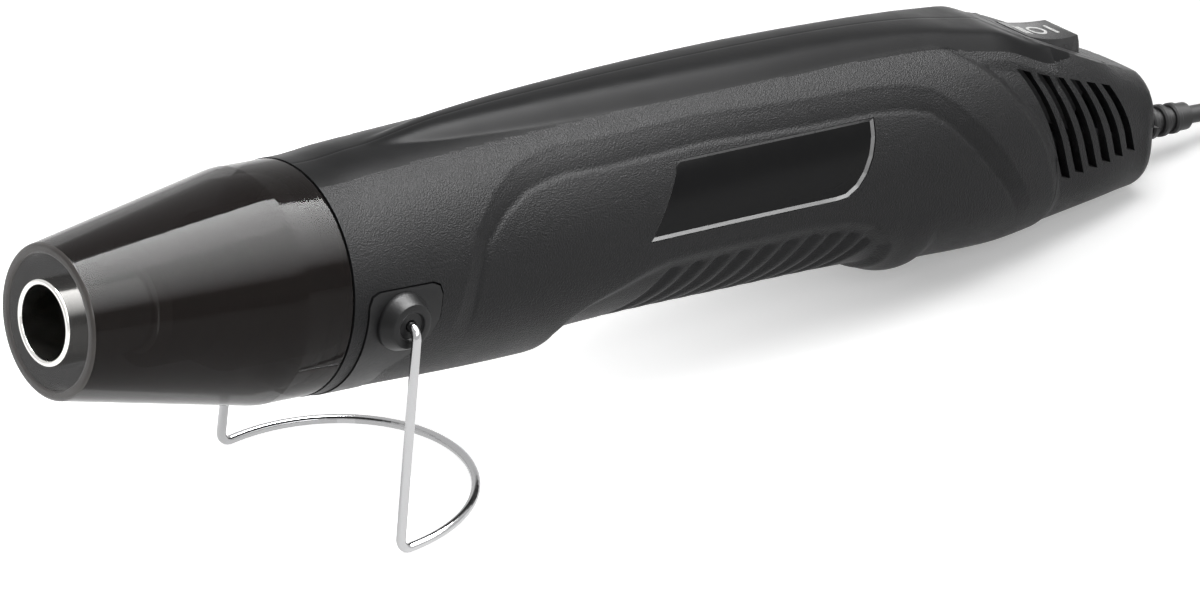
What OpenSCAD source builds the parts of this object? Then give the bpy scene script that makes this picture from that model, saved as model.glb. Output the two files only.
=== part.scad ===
// Embossing heat tool: a slim mains hot air gun standing nose up on its wire stand.
// The pieces are drawn along the tool's own axis (x rearward from the guard's front,
// z up) and tool_frame() tips them on to the table.

/* [Body] */
// Length of the translucent nose guard that shows
guard_len = 45.6; // [40:0.2:55]
// Length of the round barrel between the guard and the grip
barrel_len = 46.4; // [44:0.2:60]
// Length of the grip
grip_len = 80; // [72:1:100]
// Length of the tail behind the grip
tail_len = 58; // [56:1:72]
// Diameter of the barrel
barrel_d = 38.8; // [37:0.2:46]
// Height of the back above the barrel's top
back_rise = 5.8; // [3:0.1:9]
// Half the width of the grip
grip_half_w = 18.7; // [17:0.1:22]
// Height of the raised spine's crown
spine_crown = 1; // [0.5:0.1:2]
// Thickness of the housing wall
wall = 2; // [1.6:0.1:2.4]
// Depth of the side panel
panel_depth = 0.9; // [0.4:0.1:1.2]
// Depth of the ribbed finger scallops under the grip
scallop_depth = 1.1; // [0.6:0.1:1.6]
// How far the underside is drawn up under the grip
waist_rise = 2.6; // [1:0.1:3]

/* [Vents] */
// Number of air slots on each side
vent_count = 6; // [3:1:6]
// Width of an air slot
vent_w = 1.8; // [1.2:0.1:2.2]

/* [Nose] */
// Diameter of the guard at its front
guard_front_d = 25; // [23:0.2:29]
// Outer diameter of the steel nozzle
nozzle_d = 14; // [12:0.2:17]
// Bore of the nozzle
nozzle_bore = 12; // [10:0.2:13]
// Diameter of the heater tube
heater_tube_d = 26; // [24:0.2:28]
// Diameter of the fan
fan_d = 29.6; // [24:0.2:30]
// Number of fan blades
fan_blades = 7; // [5:1:9]
// Diameter of the motor
motor_d = 24; // [20:0.2:24.4]
// Length of the motor's can
motor_len = 26; // [22:1:32]

/* [Stand] */
// Diameter of the stand's wire
wire_d = 1.6; // [1.2:0.1:2.4]
// Length of a leg from its hinge to the foot
leg_len = 38; // [32:1:50]
// Half the width of the foot
foot_half_w = 24.5; // [23.5:0.1:30]
// How far the foot reaches to the rear
foot_reach = 28; // [25:1:36]

/* [Switch] */
// Length of the switch's bezel
bezel_len = 21; // [19:0.5:23]
// Width of the switch's bezel
bezel_w = 14; // [13:0.5:15]
// Angle of the rocker from one position to the next
rocker_step = 14; // [8:1:15]

/* [Cord] */
// Diameter of the cord
cord_d = 3.2; // [2.8:0.1:3.6]
// Radius of the coil's outer turn
coil_r = 23.8; // [23.4:0.2:28]

/* [Hidden] */
$fn = 64;
gap = 0.15;
running = 0.3;

// Places along the tool's axis
x_joint = guard_len;
x_waist = x_joint + barrel_len;
x_heel = x_waist + grip_len;
x_rear = x_heel + tail_len;
function on_barrel(f) = x_joint + f * barrel_len;
function on_grip(f) = x_waist + f * grip_len;
function on_tail(f) = x_heel + f * tail_len;
barrel_r = barrel_d / 2;

// A curve through a short list of [x, height] stations
function slope_at(T, i) = i == 0 || i == len(T) - 1 ? 0
    : (T[i + 1][1] - T[i - 1][1]) / (T[i + 1][0] - T[i - 1][0]);
function span_of(T, x, i = 0) = i >= len(T) - 2 || x < T[i + 1][0] ? i : span_of(T, x, i + 1);
function ease(T, x, i, h, t) = (1 + 2 * t) * pow(1 - t, 2) * T[i][1]
    + t * pow(1 - t, 2) * h * slope_at(T, i)
    + t * t * (3 - 2 * t) * T[i + 1][1] + t * t * (t - 1) * h * slope_at(T, i + 1);
function curve(T, x, i) = ease(T, x, i, T[i + 1][0] - T[i][0],
    min(1, max(0, (x - T[i][0]) / (T[i + 1][0] - T[i][0]))));
function through(T, x) = curve(T, x, span_of(T, x));
function smooth(t) = let (u = min(1, max(0, t))) u * u * (3 - 2 * u);

// The body's outline from the side and from above, as heights over the axis
tail_top = 12.2;
tail_drop = 11.6;
tail_half_w = 12;
tail_round = 4;
top_line = [[x_joint, barrel_r], [on_barrel(0.1), barrel_r + 0.02 * back_rise],
    [on_barrel(0.24), barrel_r + 0.16 * back_rise], [on_barrel(0.63), barrel_r + 0.39 * back_rise],
    [on_grip(0.15), barrel_r + 0.68 * back_rise], [on_grip(0.52), barrel_r + 0.94 * back_rise],
    [on_grip(0.85), barrel_r + back_rise], [on_tail(0.22), barrel_r + 0.94 * back_rise],
    [on_tail(0.44), barrel_r + 0.86 * back_rise], [on_tail(0.58), barrel_r + 0.66 * back_rise],
    [on_tail(0.7), barrel_r + 0.2 * back_rise], [on_tail(0.86), 15], [x_rear, tail_top]];
under_line = [[x_joint, barrel_r], [x_waist - 3, barrel_r], [x_waist + 5.5, barrel_r - 0.85 * waist_rise],
    [on_grip(0.5), barrel_r - 1.2 * waist_rise], [on_grip(0.89), barrel_r - 1.3 * waist_rise],
    [on_grip(0.95), barrel_r - 0.8 * waist_rise], [on_grip(0.985), barrel_r - 0.85 * waist_rise],
    [on_grip(1.01), 16.1], [on_tail(0.2), 16.1],
    [on_tail(0.36), 15.9], [on_tail(0.54), 14.4], [on_tail(0.8), 12.4], [x_rear, tail_drop]];
side_line = [[x_joint, barrel_r], [x_waist, barrel_r], [on_grip(0.45), grip_half_w],
    [x_heel, grip_half_w - 0.3], [on_tail(0.25), grip_half_w - 1.1], [on_tail(0.5), grip_half_w - 2.6],
    [on_tail(0.75), grip_half_w - 4.3], [x_rear, tail_half_w]];
square_line = [[x_joint, 2], [x_waist, 2.05], [x_heel, 2.25], [on_tail(0.5), 2.45], [x_rear, 2.6]];
function end_round(x) = x < x_rear - tail_round ? 0
    : tail_round - sqrt(max(0, pow(tail_round, 2) - pow(x - x_rear + tail_round, 2)));

// One side of a cross-section, from the crown (0) to the keel (180). off moves it inward,
// fully at z = high and beyond, and past z = low it swells out a little instead.
side_steps = 18;
swell = 0.5;
function section_point(x, a, off, low, high) =
    let (n = 2 / through(square_line, x), w = through(side_line, x) - end_round(x),
        h = (a <= 90 ? through(top_line, x) : through(under_line, x)) - end_round(x),
        z = (a <= 90 ? 1 : -1) * h * pow(abs(cos(a)), n), s = smooth((z - low) / (high - low)),
        d = off * s - swell * (1 - s), k = max(0.02, 1 - d / norm([w * pow(sin(a), n), z])))
    [x, -k * w * pow(sin(a), n), k * z];
function half_section(x, off, low, high, steps) =
    [for (i = [0 : steps]) section_point(x, 180 * i / steps, off, low, high)];

// A closed skin over rings that all have as many points
module skin(rings) {
    m = len(rings[0]);
    n = len(rings);
    polyhedron(points = [for (r = rings) each r], faces = concat(
        [[for (j = [0 : m - 1]) j]], [[for (j = [m - 1 : -1 : 0]) (n - 1) * m + j]],
        [for (i = [0 : n - 2]) for (j = [0 : m - 1]) let (k = (j + 1) % m)
            each [[i * m + j, i * m + m + j, i * m + k], [i * m + k, i * m + m + j, i * m + m + k]]]));
}

stations = concat([for (f = [0, 0.1, 0.24, 0.45, 0.7, 0.92, 1]) on_barrel(f)],
    [for (f = [0.04, 0.08, 0.2, 0.35, 0.5, 0.65, 0.8, 0.89, 0.93, 0.96, 0.985, 1.01]) on_grip(f)],
    [for (i = [1 : 9]) x_heel + i / 9 * (tail_len - tail_round)],
    [for (a = [25, 50, 70, 85]) x_rear - tail_round * (1 - sin(a))]);

// The left side of the body's plain form, drawn in by off, over part of its length
module half_form(off = 0, low = -99, high = -98, steps = side_steps, from = 0, to = 999) {
    skin([for (x = stations) if (x >= from && x <= to) half_section(x, off, low, high, steps)]);
}

// Everything under the sloping flat that carries the switch
switch_slope = 20.5;
switch_x = on_tail(0.61);
switch_z = barrel_r - 1.4;
module switch_frame() {
    translate([switch_x, 0, switch_z]) rotate([0, switch_slope, 0]) children();
}
module under_flat(drop = 0) {
    intersection() {
        children();
        switch_frame() translate([-300, -50, -100 - drop]) cube([400, 100, 100]);
    }
}

// The smooth spine along the back
spine_from = on_barrel(0.2);
spine_to = on_tail(0.5);
spine_fade = 50;
spine_half = [[spine_from, 3.2], [x_waist, 4.8], [on_grip(0.5), 6], [x_heel, 6], [on_tail(0.3), 7.8],
    [spine_to, 9.4]];
spine_edge = [[spine_from, barrel_r - 1], [on_barrel(0.35), barrel_r + 0.5],
    [on_barrel(0.63), barrel_r + 2.8], [on_grip(0.15), barrel_r + 4.9], [on_grip(0.52), barrel_r + 6],
    [on_grip(0.85), barrel_r + 6.3], [on_tail(0.05), barrel_r + 6], [on_tail(0.24), barrel_r + 5],
    [on_tail(0.33), barrel_r + 4.3],
    [spine_to, barrel_r + 1.4]];
spine_stations = concat([spine_from],
    [for (x = stations) if (x > spine_from + 1 && x < spine_to - 1) x], [spine_to]);
module half_spine() {
    skin([for (x = spine_stations) let (w = through(spine_half, x), z = through(spine_edge, x),
            c = spine_crown * smooth((spine_to - x) / spine_fade))
        [[x, 0, z + c], [x, -w / 2, z + 0.8 * c], [x, -w, z], [x, -w - 2, z - 2.4], [x, 0, z - 8]]]);
}

// The grip's side panel, seen from the side
module panel_outline(inset) {
    offset(r = -inset, $fn = 32) offset(r = 9, $fn = 32) offset(r = -9) polygon([
        [on_barrel(0.4), -30], [on_barrel(0.74), barrel_r + 0.6], [on_grip(0.9), barrel_r + 1.2],
        [on_tail(0.16), barrel_r - 8.5], [on_tail(0.35), -2], [on_tail(0.42), -30]]);
}
// The tail's lower skin, seen from the side
module tail_outline() {
    polygon(concat([for (a = [0 : 9 : 90]) [on_tail(-0.04) + 28 * sin(a), -4 + 32 * cos(a)]],
        [[on_tail(0.47), -30], [x_rear + 9, -30], [x_rear + 9, 40], [on_tail(-0.04), 40]]));
}
// The ribbed finger scallop, seen from the side
module scallop_outline() {
    polygon(concat([[x_waist + 1, -40]],
        [for (a = [0 : 15 : 90]) [x_waist + 23 - 20 * cos(a), -9 + 8.4 * sin(a)]],
        [for (a = [0 : 15 : 90]) [on_grip(0.784) + 8 * sin(a), -10 + 9.8 * cos(a)]],
        [[on_grip(0.91), -40]]));
}
module to_side() {
    rotate([90, 0, 0]) linear_extrude(60, convexity = 6) children();
}
module skin_between(off, low, high) {
    difference() {
        children();
        half_form(off, low, high);
    }
}

// Label recess, bare, on the left side only
label_from = on_grip(0.19);
label_len = 43;
label_lean = 6;
label_depth = 0.5;
label_sink = 0.1;
module label_outline(inset) {
    offset(r = -inset) polygon(concat([[label_from, 2.4]],
        [for (a = [0 : 30 : 90]) [label_from + label_lean + 2 - 2 * cos(a), 12.6 + 2 * sin(a)]],
        [[label_from + label_len + label_lean + 1, 15.6], [label_from + label_len + label_lean, 9]],
        [for (a = [0 : 30 : 90]) [label_from + label_len + 2 * cos(a) + 1, 5 - 2 * sin(a)]]));
}

// The stand's saddle strap round the barrel, seen from the side
strap_from = x_joint + 2.9;
strap_w = 7;
lobe_len = 14.5;
lobe_top = 3.4;
strap_r = barrel_r + 0.2;
strap_wall = 1.3;
stand_x = x_joint + 9.6;
stand_z = -2;
module lobe_outline(grow) {
    offset(r = grow) union() {
        offset(r = 2, $fn = 32) offset(r = -2) polygon([
            [strap_from, lobe_top], [strap_from + lobe_len, lobe_top], [strap_from + lobe_len, -3.4],
            [strap_from + lobe_len - 3, -8], [strap_from + strap_w, -12], [strap_from, -12]]);
        translate([strap_from, -30]) square([strap_w, 24]);
    }
}
module strap_form(grow, from_r, to_r) {
    intersection() {
        rotate([90, 0, 0]) linear_extrude(60, center = true) lobe_outline(grow);
        translate([strap_from - 5, 0, 0]) rotate([0, 90, 0]) difference() {
            cylinder(r = to_r, h = lobe_len + 10);
            translate([0, 0, -1]) cylinder(r = from_r, h = lobe_len + 12);
        }
    }
}

// Screws along y that draw the two halves together
screw_r = 1.2;
screw_places = [[on_barrel(0.37), barrel_r - 2.6], [on_grip(0.14), barrel_r - 1], [on_grip(0.46), -10.6],
    [on_grip(0.86), barrel_r - 0.8], [on_tail(0.14), -9.4], [x_rear - 5.6, 6.6]];
screw_seat = 4;
screw_reach = 5.5;
screw_head_r = 2.2;
boss_r = screw_head_r + running + 0.9;

// Ribs across the inside: [place, thickness, bore]
tube_r = heater_tube_d / 2;
motor_r = motor_d / 2;
cup_wall = 0.9;
flange_x = x_joint + 24.4;
duct_x = flange_x + 1.3;
duct_len = 15.6;
motor_x = duct_x + duct_len + 0.4;
ribs = [[flange_x - 2.2, 2, tube_r + gap], [motor_x + 2, 2, motor_r + cup_wall + 2 * gap],
    [motor_x + motor_len - 5, 2, motor_r + gap]];

module air_slots() {
    for (k = [0 : vent_count - 1]) let (f = k / 5,
            foot = [on_tail(0.525 + 0.294 * f), -2.4 + 1.6 * f, vent_w],
            head = [on_tail(0.37 + 0.335 * f), 17.6 - 5.6 * f, vent_w * (1.5 - 0.25 * f)],
            bow = (foot + head) / 2 + [1.3, 0.6, 0])
        for (pair = [[foot, bow], [bow, head]]) hull() for (p = pair)
            translate([p[0], 0, p[1]]) rotate([90, 0, 0]) cylinder(d = p[2], h = 40, $fn = 8);
}

// Slanting grooves across the scallop, each a notch that follows the skin
groove_count = 10;
groove_pitch = 5;
groove_half_w = 1.1;
groove_depth = 0.7;
module grip_grooves() {
    for (k = [0 : groove_count - 1]) skin([for (j = [0 : 3]) let (a = 99 + 16 * j,
            x = on_grip(0.17) + k * groove_pitch + 9 - 3 * j, skin_at = scallop_depth - 0.1)
        [section_point(x + groove_half_w, a, skin_at, 4, -3), section_point(x, a, skin_at - 0.8, 4, -3),
         section_point(x - groove_half_w, a, skin_at, 4, -3),
         section_point(x, a, skin_at + groove_depth, 4, -3)]]);
}

// One half of the housing as a thin shell with its ribs and screw bosses
module half_shell(left, $fn = 32) {
    difference() {
        union() {
            difference() {
                under_flat() union() {
                    difference() {
                        half_form();
                        skin_between(panel_depth / 2, -9, 4) to_side() panel_outline(0);
                        skin_between(panel_depth, -9, 4) to_side() panel_outline(3.4);
                        skin_between(0.8, -8, 2) to_side() tail_outline();
                        skin_between(scallop_depth, 4, -3) to_side() scallop_outline();
                    }
                    half_spine();
                }
                difference() {
                    under_flat(wall + 0.6) half_form(wall + scallop_depth, steps = side_steps / 2);
                    for (r = ribs) translate([r[0], -30, -30]) cube([r[1], 60, 60]);
                    translate([x_rear - wall - 0.4, -30, -30]) cube([30, 60, 60]);
                }
            }
            intersection() {
                under_flat() half_form(0.9 * wall);
                for (s = screw_places) translate([s[0], 0, s[1]]) rotate([90, 0, 0])
                    cylinder(r = boss_r, h = 40, $fn = 16);
            }
        }
        // Seats for the guard's spigot and the tube's collar, and for the flange and the air duct
        for (seat = [[0, flange_x - 2.3], [flange_x - 0.1, duct_x + duct_len + 0.3]])
            translate([seat[0], 0, 0]) rotate([0, 90, 0])
                cylinder(r = barrel_r - wall, h = seat[1] - seat[0]);
        for (r = ribs) translate([r[0] - 0.1, 0, 0]) rotate([0, 90, 0])
            cylinder(r = r[2], h = r[1] + 0.2);
        grip_grooves();
        air_slots();
        strap_form(gap, strap_r - strap_wall - gap, strap_r + 20);
        switch_pocket();
        translate([x_rear, 0, relief_z]) rotate([0, -90, 0])
            cylinder(r = relief_neck_r + gap, h = 20, $fn = 24);
        for (s = screw_places) translate([s[0], 0, s[1]]) rotate([90, 0, 0]) {
            translate([0, 0, -1])
                cylinder(r = screw_r + gap, h = left ? screw_reach + 2 : 40, $fn = 12);
            if (!left) translate([0, 0, screw_seat])
                cylinder(r = screw_head_r + running, h = 40, $fn = 16);
        }
        if (left) skin_between(panel_depth + label_depth, -9, 4) to_side() label_outline(0);
    }
}
module housing_left() {
    color([0.09, 0.09, 0.1]) tool_frame() half_shell(true);
}
module housing_right() {
    color([0.11, 0.11, 0.12]) tool_frame() mirror([0, 1, 0]) half_shell(false);
}
module label_plate() {
    color([0.02, 0.02, 0.02]) tool_frame() intersection() {
        to_side() label_outline(gap);
        difference() {
            half_form(panel_depth + label_sink, -9, 4, from = x_waist + 2, to = on_grip(0.9));
            half_form(panel_depth + label_depth - 0.01, -9, 4, from = x_waist + 2, to = on_grip(0.9));
        }
    }
}

// Switch, drawn in the flat's own frame: x along the slope, z out of it
bezel_t = 1.4;
body_drop = 13;
switch_body_len = bezel_len - 2.6;
switch_body_w = bezel_w - 1.6;
pivot_z = -3;
rocker_r = 7.5;
rocker_half_w = 4.65;
opening_half_len = 8;
opening_half_w = 4.9;
side_bow_r = 37.5;
end_bow_r = 21.2;
module switch_pocket() {
    switch_frame() {
        translate([-bezel_len / 2 - running, -bezel_w / 2 - running, -bezel_t - 0.05])
            cube([bezel_len + 2 * running, bezel_w + 2 * running, 20]);
        translate([-switch_body_len / 2 - gap, -switch_body_w / 2 - gap, -12])
            cube([switch_body_len + 2 * gap, switch_body_w + 2 * gap, 20]);
    }
}
module rounded_plate(l, w, h, r) {
    linear_extrude(h) hull() for (x = [-1, 1]) for (y = [-1, 1])
        translate([x * (l / 2 - r), y * (w / 2 - r)]) circle(r, $fn = 24);
}
module switch_opening() {
    intersection() {
        translate([0, side_bow_r - opening_half_w, -4]) cylinder(r = side_bow_r, h = 9);
        translate([0, opening_half_w - side_bow_r, -4]) cylinder(r = side_bow_r, h = 9);
        translate([end_bow_r - opening_half_len, 0, -4]) cylinder(r = end_bow_r, h = 9);
        translate([opening_half_len - end_bow_r, 0, -4]) cylinder(r = end_bow_r, h = 9);
    }
}
module switch_body() {
    color([0.13, 0.13, 0.14]) tool_frame() switch_frame() difference() {
        union() {
            translate([0, 0, -bezel_t]) rounded_plate(bezel_len, bezel_w, bezel_t, 1);
            translate([-switch_body_len / 2, -switch_body_w / 2, -body_drop])
                cube([switch_body_len, switch_body_w, body_drop - bezel_t]);
        }
        switch_opening();
        translate([-rocker_r - 0.25, -opening_half_w, -body_drop + 1.2])
            cube([2 * rocker_r + 0.5, 2 * opening_half_w, body_drop - 1.2 - 1.6]);
        translate([0, 0, pivot_z]) rotate([90, 0, 0]) cylinder(r = 1 + 0.05, h = 11.4, center = true);
    }
}
rocker_corner = asin((0.1 - pivot_z) / rocker_r) + rocker_step;
rocker_chord = rocker_r * cos(rocker_corner);
rocker_sag = 0.5;
rocker_hollow_r = (pow(rocker_chord, 2) + pow(rocker_sag, 2)) / (2 * rocker_sag);
module switch_rocker() {
    color([0.05, 0.05, 0.055]) tool_frame() switch_frame()
            translate([0, 0, pivot_z]) rotate([0, -rocker_step, 0]) {
        intersection() {
            rotate([90, 0, 0]) difference() {
                cylinder(r = rocker_r, h = 12, center = true);
                translate([0, rocker_r * sin(rocker_corner) - rocker_sag + rocker_hollow_r, 0])
                    cylinder(r = rocker_hollow_r, h = 14, center = true, $fn = 120);
                translate([-20, -40 - 2.2, -7]) cube([40, 40, 14]);
            }
            translate([0, side_bow_r - rocker_half_w, -6]) cylinder(r = side_bow_r, h = 20);
            translate([0, rocker_half_w - side_bow_r, -6]) cylinder(r = side_bow_r, h = 20);
        }
        rotate([90, 0, 0]) cylinder(r = 1, h = 11.2, center = true);
    }
}
terminal_len = 7;
module switch_terminals() {
    color("goldenrod") tool_frame() switch_frame() for (x = [-6, 0, 6])
        translate([x - 0.4, -2.4, -body_drop - terminal_len]) cube([0.8, 4.8, terminal_len]);
}

// Nose guard: a cone, a short cylinder and the spigot that goes into the housing
guard_wall = 1.5;
guard_knee = x_joint - 10.4;
spigot_len = 4.3;
spigot_r = barrel_r - wall - gap;
module nose_guard() {
    rim = guard_front_d / 2;
    color([0.12, 0.1, 0.1, 0.5]) tool_frame() rotate([90, 0, 90]) rotate_extrude($fn = 96) polygon([
        [rim - 1.7, 0], [rim - 0.4, 0], [rim, 0.4], [barrel_r - 0.3, guard_knee],
        [barrel_r - 0.1, guard_knee + 1.4], [barrel_r - 0.1, x_joint - 0.2],
        [spigot_r, x_joint - 0.2], [spigot_r, x_joint + spigot_len],
        [spigot_r - guard_wall, x_joint + spigot_len], [spigot_r - guard_wall, x_joint - 2],
        [barrel_r - guard_wall - 0.4, x_joint - 3], [barrel_r - guard_wall - 0.4, guard_knee],
        [rim - 1.7, 1.5]]);
}

// Steel tube: the narrow mouth, two steps and the heater chamber with its rear flange
mouth_x = -0.9;
mouth_len = 16.9;
tube_wall = 0.6;
nozzle_r = nozzle_d / 2;
mid_r = (nozzle_r + tube_r) / 2;
step_x = mouth_x + mouth_len;
cone_x = step_x + 10;
chamber_x = cone_x + 6;
flange_r = barrel_r - wall - gap;
module nozzle_tube() {
    color("silver") tool_frame() rotate([90, 0, 90]) rotate_extrude($fn = 96) polygon([
        [nozzle_bore / 2, mouth_x], [nozzle_r, mouth_x], [nozzle_r, step_x],
        [mid_r, step_x + 1], [mid_r, cone_x], [tube_r, chamber_x], [tube_r, flange_x],
        [flange_r, flange_x], [flange_r, flange_x + 1.2],
        [tube_r - tube_wall, flange_x + 1.2], [tube_r - tube_wall, chamber_x + 0.3],
        [mid_r - tube_wall, cone_x + 0.3],
        [mid_r - tube_wall, step_x + 1.5], [nozzle_bore / 2, step_x + 0.6]]);
}
module tube_collar() {
    color("tan") tool_frame() translate([x_joint + spigot_len + 0.1, 0, 0]) rotate([0, 90, 0]) difference() {
        cylinder(r = spigot_r, h = 2.6);
        translate([0, 0, -1]) cylinder(r = tube_r + 0.1, h = 5);
    }
}

// Heater: a mica cross wound with a helix inside a mica sleeve
mica_t = 1;
sleeve_r = tube_r - tube_wall - 0.1;
sleeve_wall = 0.5;
heater_x = chamber_x + 2;
heater_len = flange_x - heater_x - 1;
disc_r = sleeve_r - sleeve_wall - 0.1;
former_half = disc_r - 4;
module mica_sleeve() {
    color("burlywood") tool_frame() translate([heater_x - 1, 0, 0]) rotate([0, 90, 0]) difference() {
        cylinder(r = sleeve_r, h = heater_len + 2);
        translate([0, 0, -1]) cylinder(r = sleeve_r - sleeve_wall, h = heater_len + 4);
    }
}
module heater_former() {
    color("wheat") tool_frame() union() {
        translate([heater_x + mica_t, -mica_t / 2, -former_half])
            cube([heater_len - 2 * mica_t, mica_t, 2 * former_half]);
        translate([heater_x + mica_t, -former_half, -mica_t / 2])
            cube([heater_len - 2 * mica_t, 2 * former_half, mica_t]);
    }
}
module air_disc() {
    rotate([0, 90, 0]) difference() {
        cylinder(r = disc_r, h = mica_t);
        for (a = [30 : 60 : 330]) rotate([0, 0, a]) translate([disc_r * 0.6, 0, -1])
            cylinder(r = 2.6, h = 4, $fn = 24);
    }
}
module heater_discs() {
    color("tan") tool_frame() for (x = [heater_x, heater_x + heater_len - mica_t])
        translate([x, 0, 0]) air_disc();
}
coil_wire_r = 0.55;
heater_turns = 9;
heater_steps = 16;
module heater_coil() {
    r = former_half + 0.25 + coil_wire_r;
    run = heater_len - 2 * mica_t - 4;
    pitch = run / heater_turns;
    tilt_a = atan(pitch / (2 * PI * r));
    color("dimgray") tool_frame() skin([
        for (i = [0 : heater_turns * heater_steps]) let (a = 360 * i / heater_steps)
        [for (s = [0 : 4]) let (q = 72 * s, e = r + coil_wire_r * cos(q), t = coil_wire_r * sin(q))
            [heater_x + mica_t + 2 + run * i / (heater_turns * heater_steps) + t * cos(tilt_a),
             e * cos(a) + t * sin(tilt_a) * sin(a), e * sin(a) - t * sin(tilt_a) * cos(a)]]]);
}
fuse_r = 1.4;
fan_x = duct_x + 2.2;
fan_len = 10;
module thermal_fuse() {
    color("silver") tool_frame() translate([heater_x + heater_len + 0.2, 0, 6]) rotate([0, 90, 0]) {
        cylinder(r = 0.4, h = 1);
        translate([0, 0, 0.2]) cylinder(r = fuse_r, h = 3);
    }
}

// Fan on the motor's shaft
shaft_r = 1.15;
hub_r = 5;
blade_t = 0.9;
blade_angle = 38;
module fan() {
    color("ivory") tool_frame() translate([fan_x, 0, 0]) rotate([0, 90, 0]) difference() {
        union() {
            cylinder(r = hub_r, h = fan_len);
            intersection() {
                cylinder(r = fan_d / 2, h = fan_len);
                for (k = [0 : fan_blades - 1]) rotate([0, 0, 360 * k / fan_blades])
                    translate([hub_r - 1, 0, fan_len / 2]) rotate([blade_angle, 0, 0])
                        translate([0, -blade_t / 2, -10]) cube([20, blade_t, 20]);
            }
        }
        translate([0, 0, -1]) cylinder(r = shaft_r, h = fan_len + 2);
    }
}
end_cap_t = 2.2;
end_cap_x = motor_x + motor_len;
board_x = end_cap_x + end_cap_t + 1.6;
module motor_shaft() {
    color("silver") tool_frame() translate([fan_x, 0, 0]) rotate([0, 90, 0])
        cylinder(r = shaft_r, h = end_cap_x + end_cap_t - fan_x - 0.2);
}
bush_r = 3;
bush_len = 2.4;
module motor_can() {
    color("lightsteelblue") tool_frame() translate([motor_x, 0, 0]) rotate([0, 90, 0]) difference() {
        cylinder(r = motor_r, h = motor_len);
        translate([0, 0, 1]) cylinder(r = motor_r - 1, h = motor_len);
        translate([0, 0, -1]) cylinder(r = bush_r, h = 4);
    }
}
module motor_end_cap() {
    color("dimgray") tool_frame() translate([end_cap_x, 0, 0]) rotate([0, 90, 0]) difference() {
        union() {
            cylinder(r = motor_r, h = end_cap_t);
            for (s = [-1, 1]) translate([-0.4, s * 7 - 1.4, 0]) cube([0.8, 2.8, end_cap_t + 1.6]);
        }
        translate([0, 0, -1]) cylinder(r = bush_r, h = end_cap_t + 1);
        translate([0, 0, -2]) cylinder(r = shaft_r + 0.4, h = 8);
    }
}
module bush(x) {
    translate([x, 0, 0]) rotate([0, 90, 0]) difference() {
        cylinder(r = bush_r, h = bush_len);
        translate([0, 0, -1]) cylinder(r = shaft_r + 0.03, h = bush_len + 2);
    }
}
module motor_bushes() {
    color("peru") tool_frame() {
        bush(motor_x - 1.2);
        bush(end_cap_x - bush_len + end_cap_t);
    }
}
magnet_len = motor_len - 9;
module motor_magnets() {
    color("gray") tool_frame() translate([motor_x + 4, 0, 0]) rotate([0, 90, 0])
        for (s = [0, 180]) rotate([0, 0, s]) intersection() {
            difference() {
                cylinder(r = motor_r - 1.05, h = magnet_len);
                translate([0, 0, -1]) cylinder(r = motor_r - 3.2, h = magnet_len + 2);
            }
            translate([1.5, -20, 0]) cube([20, 40, magnet_len]);
        }
}
module motor_armature() {
    color("orangered") tool_frame() translate([motor_x + 5, 0, 0]) rotate([0, 90, 0]) difference() {
        cylinder(r = motor_r - 3.7, h = magnet_len - 2);
        translate([0, 0, -1]) cylinder(r = shaft_r, h = magnet_len);
        for (a = [0 : 120 : 240]) rotate([0, 0, a]) translate([motor_r - 5.4, -0.6, -1])
            cube([5, 1.2, magnet_len]);
    }
}
module commutator() {
    color("darkorange") tool_frame() translate([motor_x + 4 + magnet_len, 0, 0])
            rotate([0, 90, 0]) difference() {
        cylinder(r = 2.8, h = 2.6);
        translate([0, 0, -1]) cylinder(r = shaft_r, h = 5);
    }
}

// Air duct that seats in the housing, with spokes to the cup that holds the motor's front
duct_bore = fan_d / 2 + 0.6;
cup_r = motor_r + cup_wall;
cup_floor = 1.8;
cup_depth = 5;
spoke_w = 2.2;
module motor_mount() {
    color("gray") tool_frame() translate([duct_x, 0, 0]) rotate([0, 90, 0]) union() {
        rotate_extrude() polygon([
            [duct_bore, 0], [flange_r, 0], [flange_r, duct_len], [duct_bore, duct_len]]);
        translate([0, 0, duct_len]) rotate_extrude() polygon([
            [motor_r - 2.6, -cup_floor], [cup_r, -cup_floor], [cup_r, cup_depth],
            [motor_r + 0.1, cup_depth], [motor_r + 0.1, 0], [motor_r - 2.6, 0]]);
        for (a = [0 : 60 : 300]) rotate([0, 0, a])
            translate([cup_r - 0.4, -spoke_w / 2, duct_len - cup_floor + 0.2])
                cube([duct_bore - cup_r + 0.9, spoke_w, cup_floor - 0.4]);
    }
}

// Rectifier board behind the motor
board_t = 1.6;
board_r = motor_r - 1;
module circuit_board() {
    color("darkgreen") tool_frame() translate([board_x, 0, 0]) rotate([0, 90, 0]) difference() {
        cylinder(r = board_r, h = board_t);
        translate([0, 0, -1]) cylinder(r = 2.4, h = 4);
    }
}
diode_r = 1.35;
module rectifier_diodes() {
    color([0.1, 0.1, 0.1]) tool_frame() for (y = [-6.6, 6.6]) for (z = [-4, 1])
        translate([board_x + board_t + diode_r, y, z - 0.2]) cylinder(r = diode_r, h = 4.4, $fn = 32);
}
module capacitor() {
    color("gold") tool_frame() translate([board_x + board_t, -4, 4]) cube([8, 8, 4.6]);
}
lead_r = 0.6;
module lead(from, to) {
    d = to - from;
    translate(from) rotate([0, acos(d[2] / norm(d)), atan2(d[1], d[0])])
        cylinder(r = lead_r, h = norm(d), $fn = 16);
}
function switch_point(x, y, z) = [switch_x + x * cos(switch_slope) + z * sin(switch_slope), y,
    switch_z - x * sin(switch_slope) + z * cos(switch_slope)];
module lead_wires() {
    color("firebrick") tool_frame() {
        for (s = [-1, 1]) lead([board_x + board_t + running, 2.6 * s, -7.5],
            switch_point(-6.9, 1.4 * s, -body_drop - 5));
    }
}

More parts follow.
